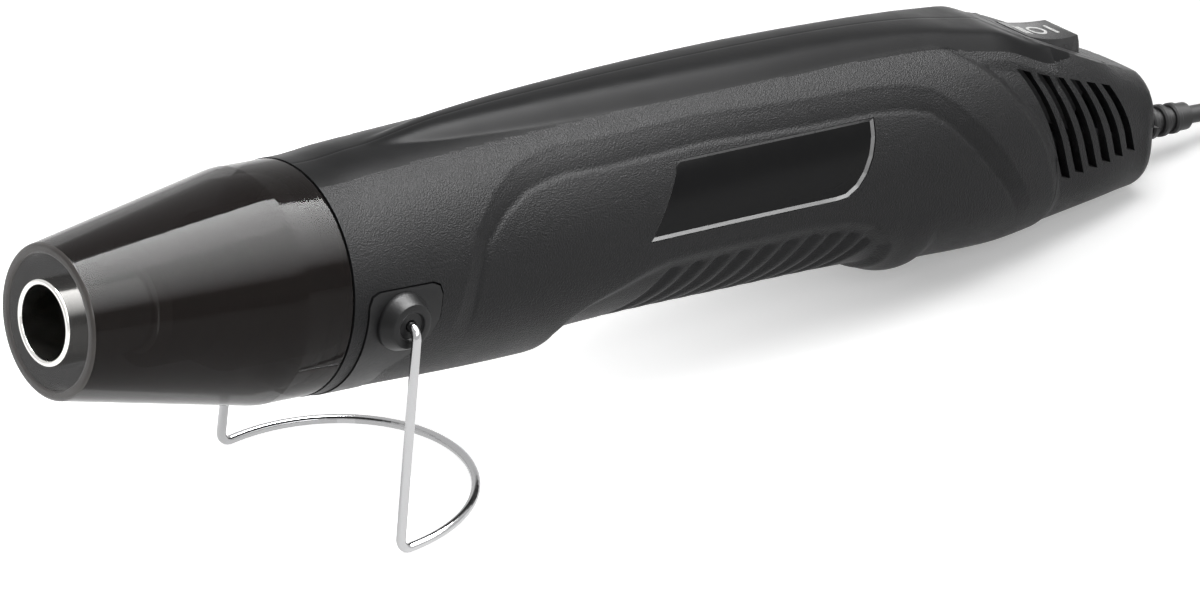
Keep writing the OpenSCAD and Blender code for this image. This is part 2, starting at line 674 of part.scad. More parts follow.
// Cord entry: relief boot, the sheath's tail inside and its clamp
relief_z = -2.2;
relief_neck_r = 2.9;
relief_r = 3.3;
relief_tip_r = 2.8;
relief_len = 16;
collar_pitch = 2.9;
neck_in = x_rear - wall - 0.4;
cord_r = cord_d / 2;
module strain_relief() {
    color([0.06, 0.06, 0.06]) tool_frame() translate([0, 0, relief_z]) rotate([90, 0, 90])
            rotate_extrude() polygon(concat(
        [[0, neck_in - 2.2], [4.8, neck_in - 2.2], [4.8, neck_in - 0.1], [relief_neck_r, neck_in - 0.1],
         [relief_neck_r, x_rear + 0.3]],
        [for (k = [0 : 4]) let (x = x_rear + 0.3 + k * collar_pitch,
                r = relief_r - (relief_r - relief_tip_r) * k / 4)
            each [[r, x], [r, x + 1.9], [cord_r + 0.7, x + 1.9], [cord_r + 0.7, x + collar_pitch]]],
        [[relief_tip_r - 0.3, x_rear + 0.3 + 5 * collar_pitch], [relief_tip_r - 0.3, x_rear + relief_len],
         [0, x_rear + relief_len]]));
}
tail_sheath_len = 16;
module cord_sheath() {
    color([0.05, 0.05, 0.05]) tool_frame() translate([neck_in - 2.3, 0, relief_z]) rotate([0, -90, 0])
        cylinder(r = cord_r, h = tail_sheath_len, $fn = 32);
}
clamp_x = neck_in - 11;
module cord_clamp() {
    color("gray") tool_frame() difference() {
        translate([clamp_x, -7.5, relief_z + 0.3]) cube([4.6, 15, cord_r + 1.2]);
        translate([clamp_x - 1, 0, relief_z]) rotate([0, 90, 0]) cylinder(r = cord_r + 0.05, h = 8, $fn = 32);
        for (s = [-1, 1]) translate([clamp_x + 2.3, 5 * s, -9]) cylinder(r = 1.2, h = 20, $fn = 24);
    }
}
module clamp_screws() {
    color("silver") tool_frame() for (s = [-1, 1]) translate([clamp_x + 2.3, 5 * s, 0]) {
        translate([0, 0, relief_z + cord_r + 1.5]) cylinder(r = 1.9, h = 1.1, $fn = 32);
        translate([0, 0, relief_z - 4]) cylinder(r = 1.1, h = 4 + cord_r + 1.6, $fn = 32);
    }
}
module housing_screws() {
    color("silver") tool_frame() for (s = screw_places) translate([s[0], 0, s[1]]) rotate([-90, 0, 0]) {
        translate([0, 0, -screw_reach]) cylinder(r = screw_r, h = screw_reach + screw_seat + 0.1, $fn = 32);
        translate([0, 0, screw_seat]) difference() {
            cylinder(r = screw_head_r, h = 1.6, $fn = 32);
            for (a = [0, 90]) rotate([0, 0, a]) translate([-1.3, -0.25, 0.8]) cube([2.6, 0.5, 2]);
        }
    }
}

// Wire stand and its saddle
boss_face_y = strap_r + 2.7;
pin_in = strap_r - 0.4;
wire_r = wire_d / 2;
knuckle = 0.02;
module stand_bracket() {
    color([0.07, 0.07, 0.07]) tool_frame() difference() {
        union() {
            strap_form(0, strap_r - strap_wall, strap_r);
            for (s = [-1, 1]) translate([stand_x, s * (strap_r - 0.6), stand_z]) rotate([-90 * s, 0, 0])
                cylinder(r1 = 4.9, r2 = 3.8, h = boss_face_y - strap_r + 0.6);
        }
        for (s = [-1, 1]) translate([stand_x, s * (pin_in - 0.1), stand_z]) rotate([-90 * s, 0, 0])
            cylinder(r = wire_r + 0.06, h = 10);
    }
}
foot_z = stand_z - leg_len;
leg_x = stand_x;
leg_top_y = boss_face_y + wire_r + 0.4;
// The foot's wire lies on the table, so the tilt follows from the leg and the keel
keel_fit = [for (x = [on_tail(0.3) : 1 : x_rear - 1]) let (
        drop = -foot_z - through(under_line, x) + end_round(x), run = x - leg_x)
    atan(drop / run) + asin(wire_r / norm([drop, run]))];
tilt = min(keel_fit);
front_reach = guard_front_d / 2 * sin(tilt);
rear_reach = (x_rear + relief_len) * cos(tilt) + (relief_z + relief_tip_r) * sin(tilt);
move_x = (front_reach - rear_reach) / 2;
move_z = wire_r + leg_x * sin(tilt) - foot_z * cos(tilt);
module tool_frame() {
    translate([move_x, 0, move_z]) rotate([0, tilt, 0]) children();
}
function to_world(p) = [move_x + p[0] * cos(tilt) + p[2] * sin(tilt), p[1],
    move_z - p[0] * sin(tilt) + p[2] * cos(tilt)];
module rod(a, b) {
    d = b - a;
    translate(a) rotate([0, acos(d[2] / norm(d)), atan2(d[1], d[0])])
        cylinder(r = wire_r, h = norm(d), $fn = 32);
}
module stand_wire() {
    hinge = to_world([stand_x, 0, stand_z]);
    foot = to_world([leg_x, 0, foot_z]);
    reach = foot_reach - foot_half_w;
    color("silver") union() {
        for (s = [-1, 1]) {
            rod(hinge + [0, s * pin_in, 0], hinge + [0, s * leg_top_y, 0]);
            translate(hinge + [0, s * leg_top_y, 0]) sphere(wire_r + knuckle, $fn = 32);
            rod(hinge + [0, s * leg_top_y, 0], foot + [0, s * foot_half_w, 0]);
            translate(foot + [0, s * foot_half_w, 0]) sphere(wire_r + knuckle, $fn = 32);
            rod(foot + [0, s * foot_half_w, 0], foot + [reach, s * foot_half_w, 0]);
        }
        translate(foot + [reach, 0, 0]) intersection() {
            rotate_extrude() translate([foot_half_w, 0]) circle(wire_r, $fn = 32);
            translate([0, -50, -5]) cube([60, 100, 10]);
        }
    }
}

// The cord: a lead from the relief, a coil wound in four layers and a tail to the plug
cord_points = [[131, -0.4, 4.5], [139, -3, 3.2], [147, -8, 2], [156, -15, 1.6], [165, -21, 1.6],
    [174, -23.6, 1.6]];
coil_centre = [184, 0];
coil_turns = 10;
coil_layers = 4;
coil_gap = 0.6;
coil_steps = 24;
coil_pitch = cord_d + coil_gap;
coil_lift = cord_d + 0.5;
tail_points = [[194, -24.4, 10], [205, -22, 5.2], [216, -15.5, 2.3], [227, -7, 2.6], [236, -1.3, 5.4]];
plug_at = [244, 0, 0];
plug_w = 35;
plug_t = 13.7;
plug_len = 34;
boot_len = 14;
module tube(points, sides, turn) {
    n = len(points) - 1;
    skin([for (i = [0 : n]) let (d = points[min(i + 1, n)] - points[max(i - 1, 0)], t = d / norm(d),
            side = cross([0, 0, 1], t) / norm(cross([0, 0, 1], t)), up = cross(t, side))
        [for (k = [0 : sides - 1]) let (a = turn + 360 * k / sides)
            points[i] + cord_r * (cos(a) * side + sin(a) * up)]]);
}
// A smooth line through the points, which starts and ends along their outer stretches
function bend(P, i, t) = let (a = P[max(i - 1, 0)], b = P[i], c = P[i + 1], d = P[min(i + 2, len(P) - 1)])
    0.5 * (2 * b + (c - a) * t + (2 * a - 5 * b + 4 * c - d) * t * t + (3 * b - a - 3 * c + d) * t * t * t);
function smooth_line(P, n) = concat([P[0]],
    [for (i = [1 : len(P) - 3]) for (k = [0 : n - 1]) bend(P, i, k / n)],
    [P[len(P) - 2], P[len(P) - 1]]);
relief_tip = to_world([x_rear + relief_len, 0, relief_z]);
coil_start = [coil_centre[0], coil_centre[1] - coil_r, cord_r];
module power_cord() {
    straight = to_world([x_rear + relief_len + cord_d, 0, relief_z]);
    color([0.05, 0.05, 0.05]) tube(smooth_line(concat([relief_tip, straight], cord_points,
        [coil_start - [cord_d, 0, 0], coil_start]), 3), 8, 22.5);
}
// The turns spiral in and out by turns, and climb a layer in the half turn where they reverse
layer_turns = coil_turns / coil_layers;
function coil_radius(u) = let (v = u / (2 * layer_turns), w = v - floor(v))
    coil_r - coil_pitch * 2 * layer_turns * min(w, 1 - w);
function coil_height(u, k = 1) = k == coil_layers ? cord_r
    : coil_lift * smooth(2 * (u - k * layer_turns) + 0.5) + coil_height(u, k + 1);
coil_last = coil_turns * 360 - 90;
coil_end = [coil_centre[0] + coil_r * cos(coil_last), coil_centre[1] + coil_r * sin(coil_last),
    coil_height(coil_turns)];
// Least space between two turns, between points that lie half a turn or more apart
function least_gap(P) = min([for (i = [0 : len(P) - 1 - coil_steps / 2])
    for (j = [i + coil_steps / 2 : len(P) - 1]) norm(P[i] - P[j])]) - cord_d;
module cord_coil() {
    n = coil_turns * coil_steps;
    wound = [for (i = [2 : n - 2]) let (u = i / coil_steps, a = 360 * u - 90)
        [coil_centre[0] + coil_radius(u) * cos(a), coil_centre[1] + coil_radius(u) * sin(a), coil_height(u)]];
    echo(coil_least_gap = least_gap(wound));
    color([0.05, 0.05, 0.05]) tube(concat([coil_start, coil_start + [cord_d, 0, 0]], wound,
        [coil_end - [cord_d, 0, 0], coil_end]), 6, 30);
}
plug_mid = plug_at + [0, 0, plug_t / 2];
module cord_tail() {
    color([0.05, 0.05, 0.05]) tube(smooth_line(concat([coil_end, coil_end + [cord_d, 0, 0]], tail_points,
        [plug_mid - [cord_d, 0, 0], plug_mid]), 3), 8, 22.5);
}
module plug_boot() {
    color([0.05, 0.05, 0.05]) translate(plug_mid) rotate([0, 90, 0])
        cylinder(r1 = cord_r + 0.9, r2 = cord_r + 2.4, h = boot_len);
}
module plug_body() {
    color([0.06, 0.06, 0.06]) translate(plug_at + [boot_len, 0, 0]) linear_extrude(plug_t) polygon([
        [0, -7], [8, -10], [16, -13.5], [24, -plug_w / 2],
        [plug_len - 2, -plug_w / 2], [plug_len, 2 - plug_w / 2],
        [plug_len, plug_w / 2 - 2], [plug_len - 2, plug_w / 2],
        [24, plug_w / 2], [16, 13.5], [8, 10], [0, 7]]);
}
module plug_pins() {
    color("silver") for (s = [-1, 1])
            translate(plug_mid + [boot_len + plug_len, 9.1 * s, 0]) rotate([0, 90, 0]) {
        cylinder(r = 2, h = 17.4);
        translate([0, 0, 17.4]) cylinder(r1 = 2, r2 = 1.2, h = 1.6);
    }
}

housing_left();
housing_right();
label_plate();
nose_guard();
nozzle_tube();
tube_collar();
mica_sleeve();
heater_former();
heater_discs();
heater_coil();
thermal_fuse();
fan();
motor_shaft();
motor_can();
motor_end_cap();
motor_bushes();
motor_magnets();
motor_armature();
commutator();
motor_mount();
circuit_board();
rectifier_diodes();
capacitor();
lead_wires();
switch_body();
switch_rocker();
switch_terminals();
strain_relief();
cord_sheath();
cord_clamp();
clamp_screws();
housing_screws();
stand_bracket();
stand_wire();
power_cord();
cord_coil();
cord_tail();
plug_boot();
plug_body();
plug_pins();
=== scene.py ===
"""Looks of the embossing heat tool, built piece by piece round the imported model, in metres."""
import math
import bmesh
import bpy
import numpy as np
from mathutils import Matrix, Vector


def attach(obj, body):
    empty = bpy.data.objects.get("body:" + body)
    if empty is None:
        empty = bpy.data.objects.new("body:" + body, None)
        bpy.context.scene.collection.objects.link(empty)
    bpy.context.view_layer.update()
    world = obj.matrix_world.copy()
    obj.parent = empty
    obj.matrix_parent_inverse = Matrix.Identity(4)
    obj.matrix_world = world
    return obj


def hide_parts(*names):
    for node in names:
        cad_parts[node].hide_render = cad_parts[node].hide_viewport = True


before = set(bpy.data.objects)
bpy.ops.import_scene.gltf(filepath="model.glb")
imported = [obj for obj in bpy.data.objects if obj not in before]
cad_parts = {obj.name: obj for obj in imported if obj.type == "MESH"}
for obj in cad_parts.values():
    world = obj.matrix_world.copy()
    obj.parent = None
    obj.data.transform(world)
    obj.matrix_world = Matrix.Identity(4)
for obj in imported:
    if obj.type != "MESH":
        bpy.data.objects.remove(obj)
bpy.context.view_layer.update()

# Camera, table and lamps
# A long lens looks down on the tool from the nozzle's side. The table is pale and
# soft lamps hang over it and in front of it, at a level that leaves colours as written.
def in_scene(name, data):
    """A new object in the scene."""
    made = bpy.data.objects.new(name, data)
    bpy.context.collection.objects.link(made)
    return made


camera = in_scene("camera", bpy.data.cameras.new("camera"))
camera.data.lens = 205.7
camera.data.clip_end = 20
camera.matrix_world = Matrix((
    (0.7783, 0.3096, -0.5463, -0.6356),
    (-0.6271, 0.3391, -0.7012, -0.8016),
    (-0.0318, 0.8884, 0.4580, 0.5380),
    (0, 0, 0, 1)))
bpy.context.scene.camera = camera
bpy.context.scene.view_settings.view_transform = "Standard"


def node(tree, kind, sockets=None, **settings):
    """Adds a node with its settings. A socket gets a value, a link, or a node's first output."""
    made = tree.nodes.new(kind)
    for name, value in settings.items():
        setattr(made, name, value)
    for name, value in (sockets or {}).items():
        if isinstance(value, bpy.types.Node):
            value = value.outputs[0]
        if isinstance(value, bpy.types.NodeSocket):
            tree.links.new(value, made.inputs[name])
        else:
            made.inputs[name].default_value = value
    return made


def seen_directly(tree):
    """1 where the camera, a reflection or a clear wall shows the surface, otherwise 0."""
    rays = node(tree, "ShaderNodeLightPath").outputs
    first = node(tree, "ShaderNodeMath", {0: rays["Is Camera Ray"], 1: rays["Is Glossy Ray"]},
        operation="MAXIMUM")
    return node(tree, "ShaderNodeMath", {0: first, 1: rays["Is Transmission Ray"]},
        operation="MAXIMUM").outputs[0]


def pale_world():
    """A plain white surround, dimmer as light than as a background."""
    world = bpy.data.worlds.new("surround")
    world.use_nodes = True
    tree = world.node_tree
    strength = node(tree, "ShaderNodeMapRange",
        {"Value": seen_directly(tree), "To Min": 0.24, "To Max": 1.0})
    background = tree.nodes["Background"]
    background.inputs["Color"].default_value = (1, 1, 1, 1)
    tree.links.new(strength.outputs[0], background.inputs["Strength"])
    bpy.context.scene.world = world


def table_top():
    """A white table whose glow is dimmed round the spot where the tool's rear rests, a painted shade that
    darkens its shadow there.
    """
    mesh = bpy.data.meshes.new("table_top")
    mesh.from_pydata([(-6, -6, 0), (6, -6, 0), (6, 6, 0), (-6, 6, 0)], [], [(0, 1, 2, 3)])
    top = in_scene("table_top", mesh)
    top.location.z = -0.0002
    white = bpy.data.materials.new("table_white")
    white.use_nodes = True
    tree = white.node_tree
    tree.nodes.clear()
    paint = node(tree, "ShaderNodeBsdfDiffuse", {"Color": (0.82, 0.82, 0.82, 1)})
    glow_with_painted_shade = node(tree, "ShaderNodeEmission", {"Color": (1, 1, 1, 1)})
    # Painted shade: the glow falls from 0.88 to 0.33 towards where the rear rests, so the table reads
    # darker round it.
    spot = node(tree, "ShaderNodeTexCoord").outputs["Object"]
    away = node(tree, "ShaderNodeVectorMath", {0: spot, 1: (0.11, 0, 0)}, operation="DISTANCE")
    rise = node(tree, "ShaderNodeMapRange", {"Value": away.outputs["Value"],
        "From Min": 0.055, "From Max": 0.125, "To Min": 0.33, "To Max": 0.88})
    level = node(tree, "ShaderNodeMath", {0: seen_directly(tree), 1: rise}, operation="MULTIPLY")
    tree.links.new(level.outputs[0], glow_with_painted_shade.inputs["Strength"])
    both = node(tree, "ShaderNodeAddShader")
    tree.links.new(paint.outputs[0], both.inputs[0])
    tree.links.new(glow_with_painted_shade.outputs[0], both.inputs[1])
    node(tree, "ShaderNodeOutputMaterial", {"Surface": both})
    mesh.materials.append(white)


def soft_lamp(name, place, aim, width, height, watts, gleam_only=False):
    """A soft lamp at place that points at aim. One for gleams lights no matt surface."""
    lamp = bpy.data.lights.new(name, "AREA")
    lamp.shape = "RECTANGLE"
    lamp.size = width
    lamp.size_y = height
    lamp.energy = watts
    holder = in_scene(name, lamp)
    holder.location = place
    holder.rotation_euler = (Vector(aim) - Vector(place)).to_track_quat("-Z", "Y").to_euler()
    holder.visible_diffuse = not gleam_only
    return lamp


def fade_down(lamp):
    """Lets a lamp fade from its upper to its lower edge."""
    lamp.use_nodes = True
    tree = lamp.node_tree
    across = node(tree, "ShaderNodeSeparateXYZ",
        {"Vector": node(tree, "ShaderNodeNewGeometry").outputs["Parametric"]})
    level = node(tree, "ShaderNodeMapRange", {"Value": across.outputs["Y"], "To Min": 0.0, "To Max": 1.9})
    tree.links.new(level.outputs[0], tree.nodes["Emission"].inputs["Strength"])


pale_world()
table_top()
soft_lamp("top_lamp", (0.12, -0.12, 1.0), (0, 0, 0.03), 0.9, 0.7, 7.0)
soft_lamp("front_lamp", (-0.35, -0.85, 0.6), (0, 0, 0.04), 0.5, 0.4, 2.2)
fade_down(soft_lamp("side_gleam", (0.42, -0.38, 0.74), (0.42, 0, 0.03), 0.95, 1.35, 66, gleam_only=True))

# Mains cord
# A round two-core lead in black rubber. It leaves the relief, drops to the table and lies
# wound in four layers behind the tool. It ends in a plain two-pin plug with a rubber boot.
TILT = math.radians(9.6562)
MOVE_X = -120.259
MOVE_Z = 49.4923


def on_table(points):
    """Points along the tool's own axis, in millimetres, as points on the table, in metres."""
    x, y, z = np.moveaxis(np.asarray(points, float), -1, 0)
    return np.stack([MOVE_X + x * math.cos(TILT) + z * math.sin(TILT), y,
        MOVE_Z - x * math.sin(TILT) + z * math.cos(TILT)], -1) / 1000


def shade(mesh, angle):
    """Shades a mesh smooth but for edges sharper than an angle in degrees."""
    mesh.shade_smooth()
    mesh.set_sharp_from_angle(angle=math.radians(angle))


def new_piece(name, points, faces, sharp):
    """A mesh object at the origin, shaded smooth but for its sharp edges."""
    mesh = bpy.data.meshes.new(name)
    mesh.from_pydata([tuple(p) for p in np.asarray(points, float)], [], faces)
    mesh.validate()
    shade(mesh, sharp)
    return in_scene(name, mesh)


def grain_nodes(tree, size, detail, rough, seed=0.0):
    """A noise pattern on the piece's own coordinates, of grains so many metres across."""
    spot = node(tree, "ShaderNodeTexCoord").outputs["Object"]
    shift = node(tree, "ShaderNodeMapping", {"Vector": spot, "Location": (seed, seed, seed)})
    return node(tree, "ShaderNodeTexNoise", {"Vector": shift, "Scale": 1 / size, "Detail": detail,
        "Roughness": rough}).outputs[0]


def finish_material(name, colour, rough, metal=0.0, grain=0.0004, depth=0.00001, mottle=0.12, smear=0.08,
        wear=0.3, **extra):
    """A surface with an uneven colour and gloss, a fine grain and rubbed edges."""
    material = bpy.data.materials.new(name)
    material.use_nodes = True
    tree = material.node_tree
    shader = tree.nodes["Principled BSDF"]
    patches = grain_nodes(tree, 0.02, 4, 0.6, 3.1)
    fine = grain_nodes(tree, grain, 2, 0.5)
    sharpness = node(tree, "ShaderNodeNewGeometry").outputs["Pointiness"]
    edge = node(tree, "ShaderNodeMapRange", {"Value": sharpness,
        "From Min": 0.52, "From Max": 0.6, "To Min": 0.0, "To Max": wear})
    dark = [c * (1 - mottle) for c in colour]
    light = [min(1, c * (1 + mottle) + 0.002) for c in colour]
    base = node(tree, "ShaderNodeMix", {0: patches, 6: (*dark, 1), 7: (*light, 1)}, data_type="RGBA")
    rubbed = node(tree, "ShaderNodeMix", {0: edge, 6: base.outputs[2],
        7: (*[min(1, c * 1.6 + 0.02) for c in colour], 1)}, data_type="RGBA")
    tree.links.new(rubbed.outputs[2], shader.inputs["Base Color"])
    gloss = node(tree, "ShaderNodeMapRange", {"Value": grain_nodes(tree, 0.006, 5, 0.65, 7.7),
        "From Min": 0.3, "From Max": 0.7, "To Min": max(0, rough - smear), "To Max": min(1, rough + smear)})
    tree.links.new(gloss.outputs[0], shader.inputs["Roughness"])
    bump = node(tree, "ShaderNodeBump", {"Height": fine, "Distance": depth, "Strength": 1.0})
    tree.links.new(bump.outputs[0], shader.inputs["Normal"])
    shader.inputs["Metallic"].default_value = metal
    for socket, value in extra.items():
        shader.inputs[socket.replace("_", " ")].default_value = value
    return material


CORD_D = 3.2
RELIEF_TIP = (246, 0, -2.2)
LEAD = [(131, -0.4, 4.5), (139, -3, 3.2), (147, -8, 2), (156, -15, 1.6), (165, -21, 1.6), (174, -23.6, 1.6)]
COIL_CENTRE = (184, 0)
COIL_R = 23.8
COIL_TURNS = 10
COIL_PITCH = 3.8
COIL_LIFT = 3.7
TAIL = [(194, -24.4, 10), (205, -22, 5.2), (216, -15.5, 2.3), (227, -7, 2.6), (236, -1.3, 5.4)]
PLUG_ENTRY = (244, 0, 6.85)


def smooth_line(points, steps):
    """A smooth line through the points, straight along its first and last stretches."""
    p = np.array(points, float)
    line = [p[0]]
    for i in range(1, len(p) - 2):
        a, b, c, d = p[i - 1], p[i], p[i + 1], p[i + 2]
        for t in np.arange(steps) / steps:
            line.append(0.5 * (2 * b + (c - a) * t + (2 * a - 5 * b + 4 * c - d) * t * t
                + (3 * b - a - 3 * c + d) * t ** 3))
    return np.array(line + [p[-2], p[-1]])


def coil_line(steps):
    """The turns, which spiral in and out and climb a layer in each half turn where they reverse."""
    turns = np.arange(2, COIL_TURNS * steps - 1) / steps
    angle = 2 * math.pi * turns - math.pi / 2
    half = COIL_TURNS / 4
    share = turns / (2 * half) % 1
    radius = COIL_R - COIL_PITCH * 2 * half * np.minimum(share, 1 - share)
    rise = sum(smooth(2 * (turns - k * half) + 0.5) for k in (1, 2, 3))
    return np.stack([COIL_CENTRE[0] + radius * np.cos(angle), COIL_CENTRE[1] + radius * np.sin(angle),
        CORD_D / 2 + COIL_LIFT * rise], -1)


def smooth(t):
    """An even step from 0 to 1."""
    u = np.clip(t, 0, 1)
    return u * u * (3 - 2 * u)


def around(steps):
    """The angles of so many even steps round a circle."""
    return 2 * math.pi * np.arange(steps) / steps


def ring_faces(n, m, closed=False):
    """Faces between n rings of m points each, with the last ring joined to the first if closed."""
    return [(i * m + j, i * m + (j + 1) % m, (i + 1) % n * m + (j + 1) % m, (i + 1) % n * m + j)
        for i in range(n if closed else n - 1) for j in range(m)]


def swept_tube(name, path, radius, sides):
    """A closed round tube along a path, without twist."""
    p = np.asarray(path, float)
    heading = np.gradient(p, axis=0)
    heading /= np.linalg.norm(heading, axis=1)[:, None]
    side = np.cross((0, 0, 1), heading[0])
    side /= np.linalg.norm(side)
    turn = around(sides)
    rings = []
    for spot, ahead in zip(p, heading):
        side = side - ahead * side.dot(ahead)
        side /= np.linalg.norm(side)
        over = np.cross(ahead, side)
        rings.append(spot + radius * (np.cos(turn)[:, None] * side + np.sin(turn)[:, None] * over))
    n = len(p)
    faces = ring_faces(n, sides)
    faces.append(tuple(range(sides))[::-1])
    faces.append(tuple((n - 1) * sides + j for j in range(sides)))
    return new_piece(name, np.concatenate(rings), faces, 60)


coil_start = (COIL_CENTRE[0], COIL_CENTRE[1] - COIL_R, CORD_D / 2)
coil_end = (COIL_CENTRE[0], COIL_CENTRE[1] - COIL_R, CORD_D / 2 + 3 * COIL_LIFT)
relief_tip = on_table(RELIEF_TIP) * 1000
past_tip = on_table((RELIEF_TIP[0] + CORD_D, 0, RELIEF_TIP[2])) * 1000
route = np.concatenate([
    smooth_line([relief_tip, past_tip, *LEAD, np.subtract(coil_start, (CORD_D, 0, 0)), coil_start], 5),
    [np.add(coil_start, (CORD_D, 0, 0))], coil_line(24), [np.subtract(coil_end, (CORD_D, 0, 0))],
    smooth_line([coil_end, np.add(coil_end, (CORD_D, 0, 0)), *TAIL,
        np.subtract(PLUG_ENTRY, (CORD_D, 0, 0)), PLUG_ENTRY], 5)]) / 1000
cord_rubber = finish_material("cord_rubber", (0.012, 0.012, 0.0125), 0.42, grain=0.0006, depth=0.000012,
    wear=0.1, Specular_IOR_Level=0.3)
mains_cord = swept_tube("mains_cord", route, CORD_D / 2000, 16)
mains_cord.data.materials.append(cord_rubber)
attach(mains_cord, "tool")
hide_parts("power_cord", "cord_coil", "cord_tail")


def settle(piece):
    """Keeps what a piece's modifiers make of it as its plain mesh."""
    made = bpy.data.meshes.new_from_object(piece.evaluated_get(bpy.context.evaluated_depsgraph_get()))
    piece.modifiers.clear()
    piece.data = made


def softened(cad, name, width, material, body, steps=2):
    """A copy of a CAD piece with its facets joined and its edges rounded, which stands for it."""
    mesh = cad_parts[cad].data.copy()
    for layer in ("custom_normal", "sharp_edge", "sharp_face"):
        if layer in mesh.attributes:
            mesh.attributes.remove(mesh.attributes[layer])
    shape = bmesh.new()
    shape.from_mesh(mesh)
    bmesh.ops.remove_doubles(shape, verts=shape.verts[:], dist=2e-7)
    bmesh.ops.dissolve_limit(shape, angle_limit=math.radians(0.7), verts=shape.verts[:],
        edges=shape.edges[:])
    shape.to_mesh(mesh)
    shape.free()
    piece = in_scene(name, mesh)
    edges = piece.modifiers.new("edges", "BEVEL")
    edges.width = width
    edges.segments = steps
    edges.limit_method = "ANGLE"
    edges.angle_limit = math.radians(35)
    settle(piece)
    piece.data.materials.clear()
    piece.data.materials.append(material)
    shade(piece.data, 40)
    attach(piece, body)
    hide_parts(cad)
    return piece


def paint(piece, *look, **more):
    """Gives a piece a finish of its own, after those it has."""
    piece.data.materials.append(finish_material(*look, **more))


def dress(cad_nodes, material):
    """Gives CAD nodes that stay as they are a finish."""
    for name in cad_nodes:
        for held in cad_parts[name].material_slots:
            held.material = material


black_moulding = finish_material("black_moulding", (0.014, 0.014, 0.0145), 0.4, grain=0.0006, depth=0.00001,
    Specular_IOR_Level=0.3)
plug_sleeve = softened("plug_boot", "plug_sleeve", 0.0003, cord_rubber, "tool")
plug_moulding = softened("plug_body", "plug_moulding", 0.0012, black_moulding, "tool", 3)
dress(["plug_pins"],
    finish_material("nickel", (0.66, 0.64, 0.6), 0.22, metal=1.0, grain=0.0008, depth=0.000002))

# Housing halves
# Two black nylon shells that meet along the tool's middle, drawn together by six screws.
# The mould is spark textured but for the smooth spine. Each table gives distances behind
# the guard's front and a height or width there, in millimetres.
JOINT = 45.6
REAR = 230.0
REAR_ROUND = 4
TOP = [(45.6, 19.4), (50.24, 19.516), (56.736, 20.328), (74.832, 21.662), (104, 23.344), (133.6, 24.852),
    (160, 25.2), (184.76, 24.852), (197.52, 24.388), (205.64, 23.228), (212.6, 20.56), (221.88, 15),
    (230, 12.2)]
UNDER = [(45.6, 19.4), (89, 19.4), (97.5, 17.19), (132, 16.28), (163.2, 16.02), (168, 17.32),
    (170.8, 17.19), (172.8, 16.1), (183.6, 16.1), (192.88, 15.9), (203.32, 14.4), (218.4, 12.4),
    (230, 11.6)]
SIDE = [(45.6, 19.4), (92, 19.4), (128, 18.7), (172, 18.4), (186.5, 17.6), (201, 16.1), (215.5, 14.4),
    (230, 12)]
SQUARE = [(45.6, 2), (92, 2.05), (172, 2.25), (201, 2.45), (230, 2.6)]
SPINE_HALF = [(54.88, 3.2), (92, 4.8), (132, 6), (172, 6), (189.4, 7.8), (201, 9.4)]
SPINE_EDGE = [(54.88, 18.4), (61.84, 19.9), (74.832, 22.2), (104, 24.3), (133.6, 25.4), (160, 25.7),
    (174.9, 25.4), (185.92, 24.4), (191.14, 23.7), (201, 20.8)]
PANEL = [(64, -40), (66, -10), (68, 1.3), (70.7, 9.8), (76, 14.6), (81.7, 17.5), (86.4, 18.5), (91.2, 19.2),
    (99.6, 19.2), (120.5, 20.2), (143, 19.9), (157.7, 20), (165.3, 19.5), (171, 18.2), (175.8, 15.2),
    (181, 10.5), (186.7, 4.8), (190.4, 0.6), (193.5, -3.6), (195, -7.5), (196, -40)]
TAIL_SKIN = [(150, 40), (165, 27.4), (171, 25.4), (177, 23), (182, 20.2), (186.5, 16.8), (190, 13),
    (194, 8.3), (197, 3.8), (199.5, -1.5), (200.4, -5.7), (200.6, -40), (260, -40), (260, 40)]
SCALLOP = [(90, -40), (90.5, -12), (92, -9), (96.4, -6.3), (102, -4.2), (107, -2.2), (112, -0.9),
    (129, -0.3), (144, 0), (152, -0.6), (157.6, -2.5), (162.4, -7), (163.6, -11), (164, -40)]
LABEL_CORNER = [(115.2 - 2 * math.cos(a), 12.6 + 2 * math.sin(a)) for a in np.radians((0, 30, 60, 90))]
LABEL = [(107.2, 2.4), *LABEL_CORNER, (157.2, 15.6), (156.9, 12.5), (156, 9.5), (154.6, 6.8), (152.8, 4.7),
    (150.4, 3.3), (148, 3.05)]
SCREWS = [(62.768, 16.8), (103.2, 18.4), (128.8, -10.6), (160.8, 18.6), (180.12, -9.4), (224.4, 6.6)]
NOSE_WALL = 2.0
NOSE_WALL_END = 90
WALL = 3.1
REAR_WALL = 2.4
FLAT_WALL = 2.6
BOSS_COVER = 1.9
BOSS_FLAT_COVER = 1.6
SCREW_BOSS_R = 3.4
SCREW_HOLE_R = 1.35
SCREW_WELL_R = 2.5
SCREW_SEAT = 4.0
SWITCH_AT = (207.38, 0, 18.0)
SWITCH_SLOPE = math.radians(20.5)
SWITCH_SEAT = (21.6, 14.6, 1.45)
SWITCH_OPENING = (18.7, 12.7, 12)
ENTRY_R = 3.05
LABEL_BED = 1.6
STRAP_GAP = 0.25
STRAP_GROOVE_R = 18.15
SPINE_FROM = 54.9
SPINE_TO = 201
SPINE_ROUND = 0.6
SPINE_ROOT = 0.12
FLANK_SLOPE = 1.2
FLANK_WIDE = 2.2
FLANK_DEEP = 2.9
SMOOTH_HALF = 7.4
SMOOTH_TO = 206
INNER_R = 14
INNER_POINTS = 26
PANEL_STEP = 0.15
PANEL_DEPTH = 1.0
PANEL_LEDGE = 3.2
FACE_RISE = 0.3
TAIL_DEPTH = 1.25
SCALLOP_DEPTH = 1.3
RIB_DEPTH = 0.75
RIB_PITCH = 5
RIB_LEAN = 0.1875
RIBS_FROM = 111.5
RIBS_TO = 162.5


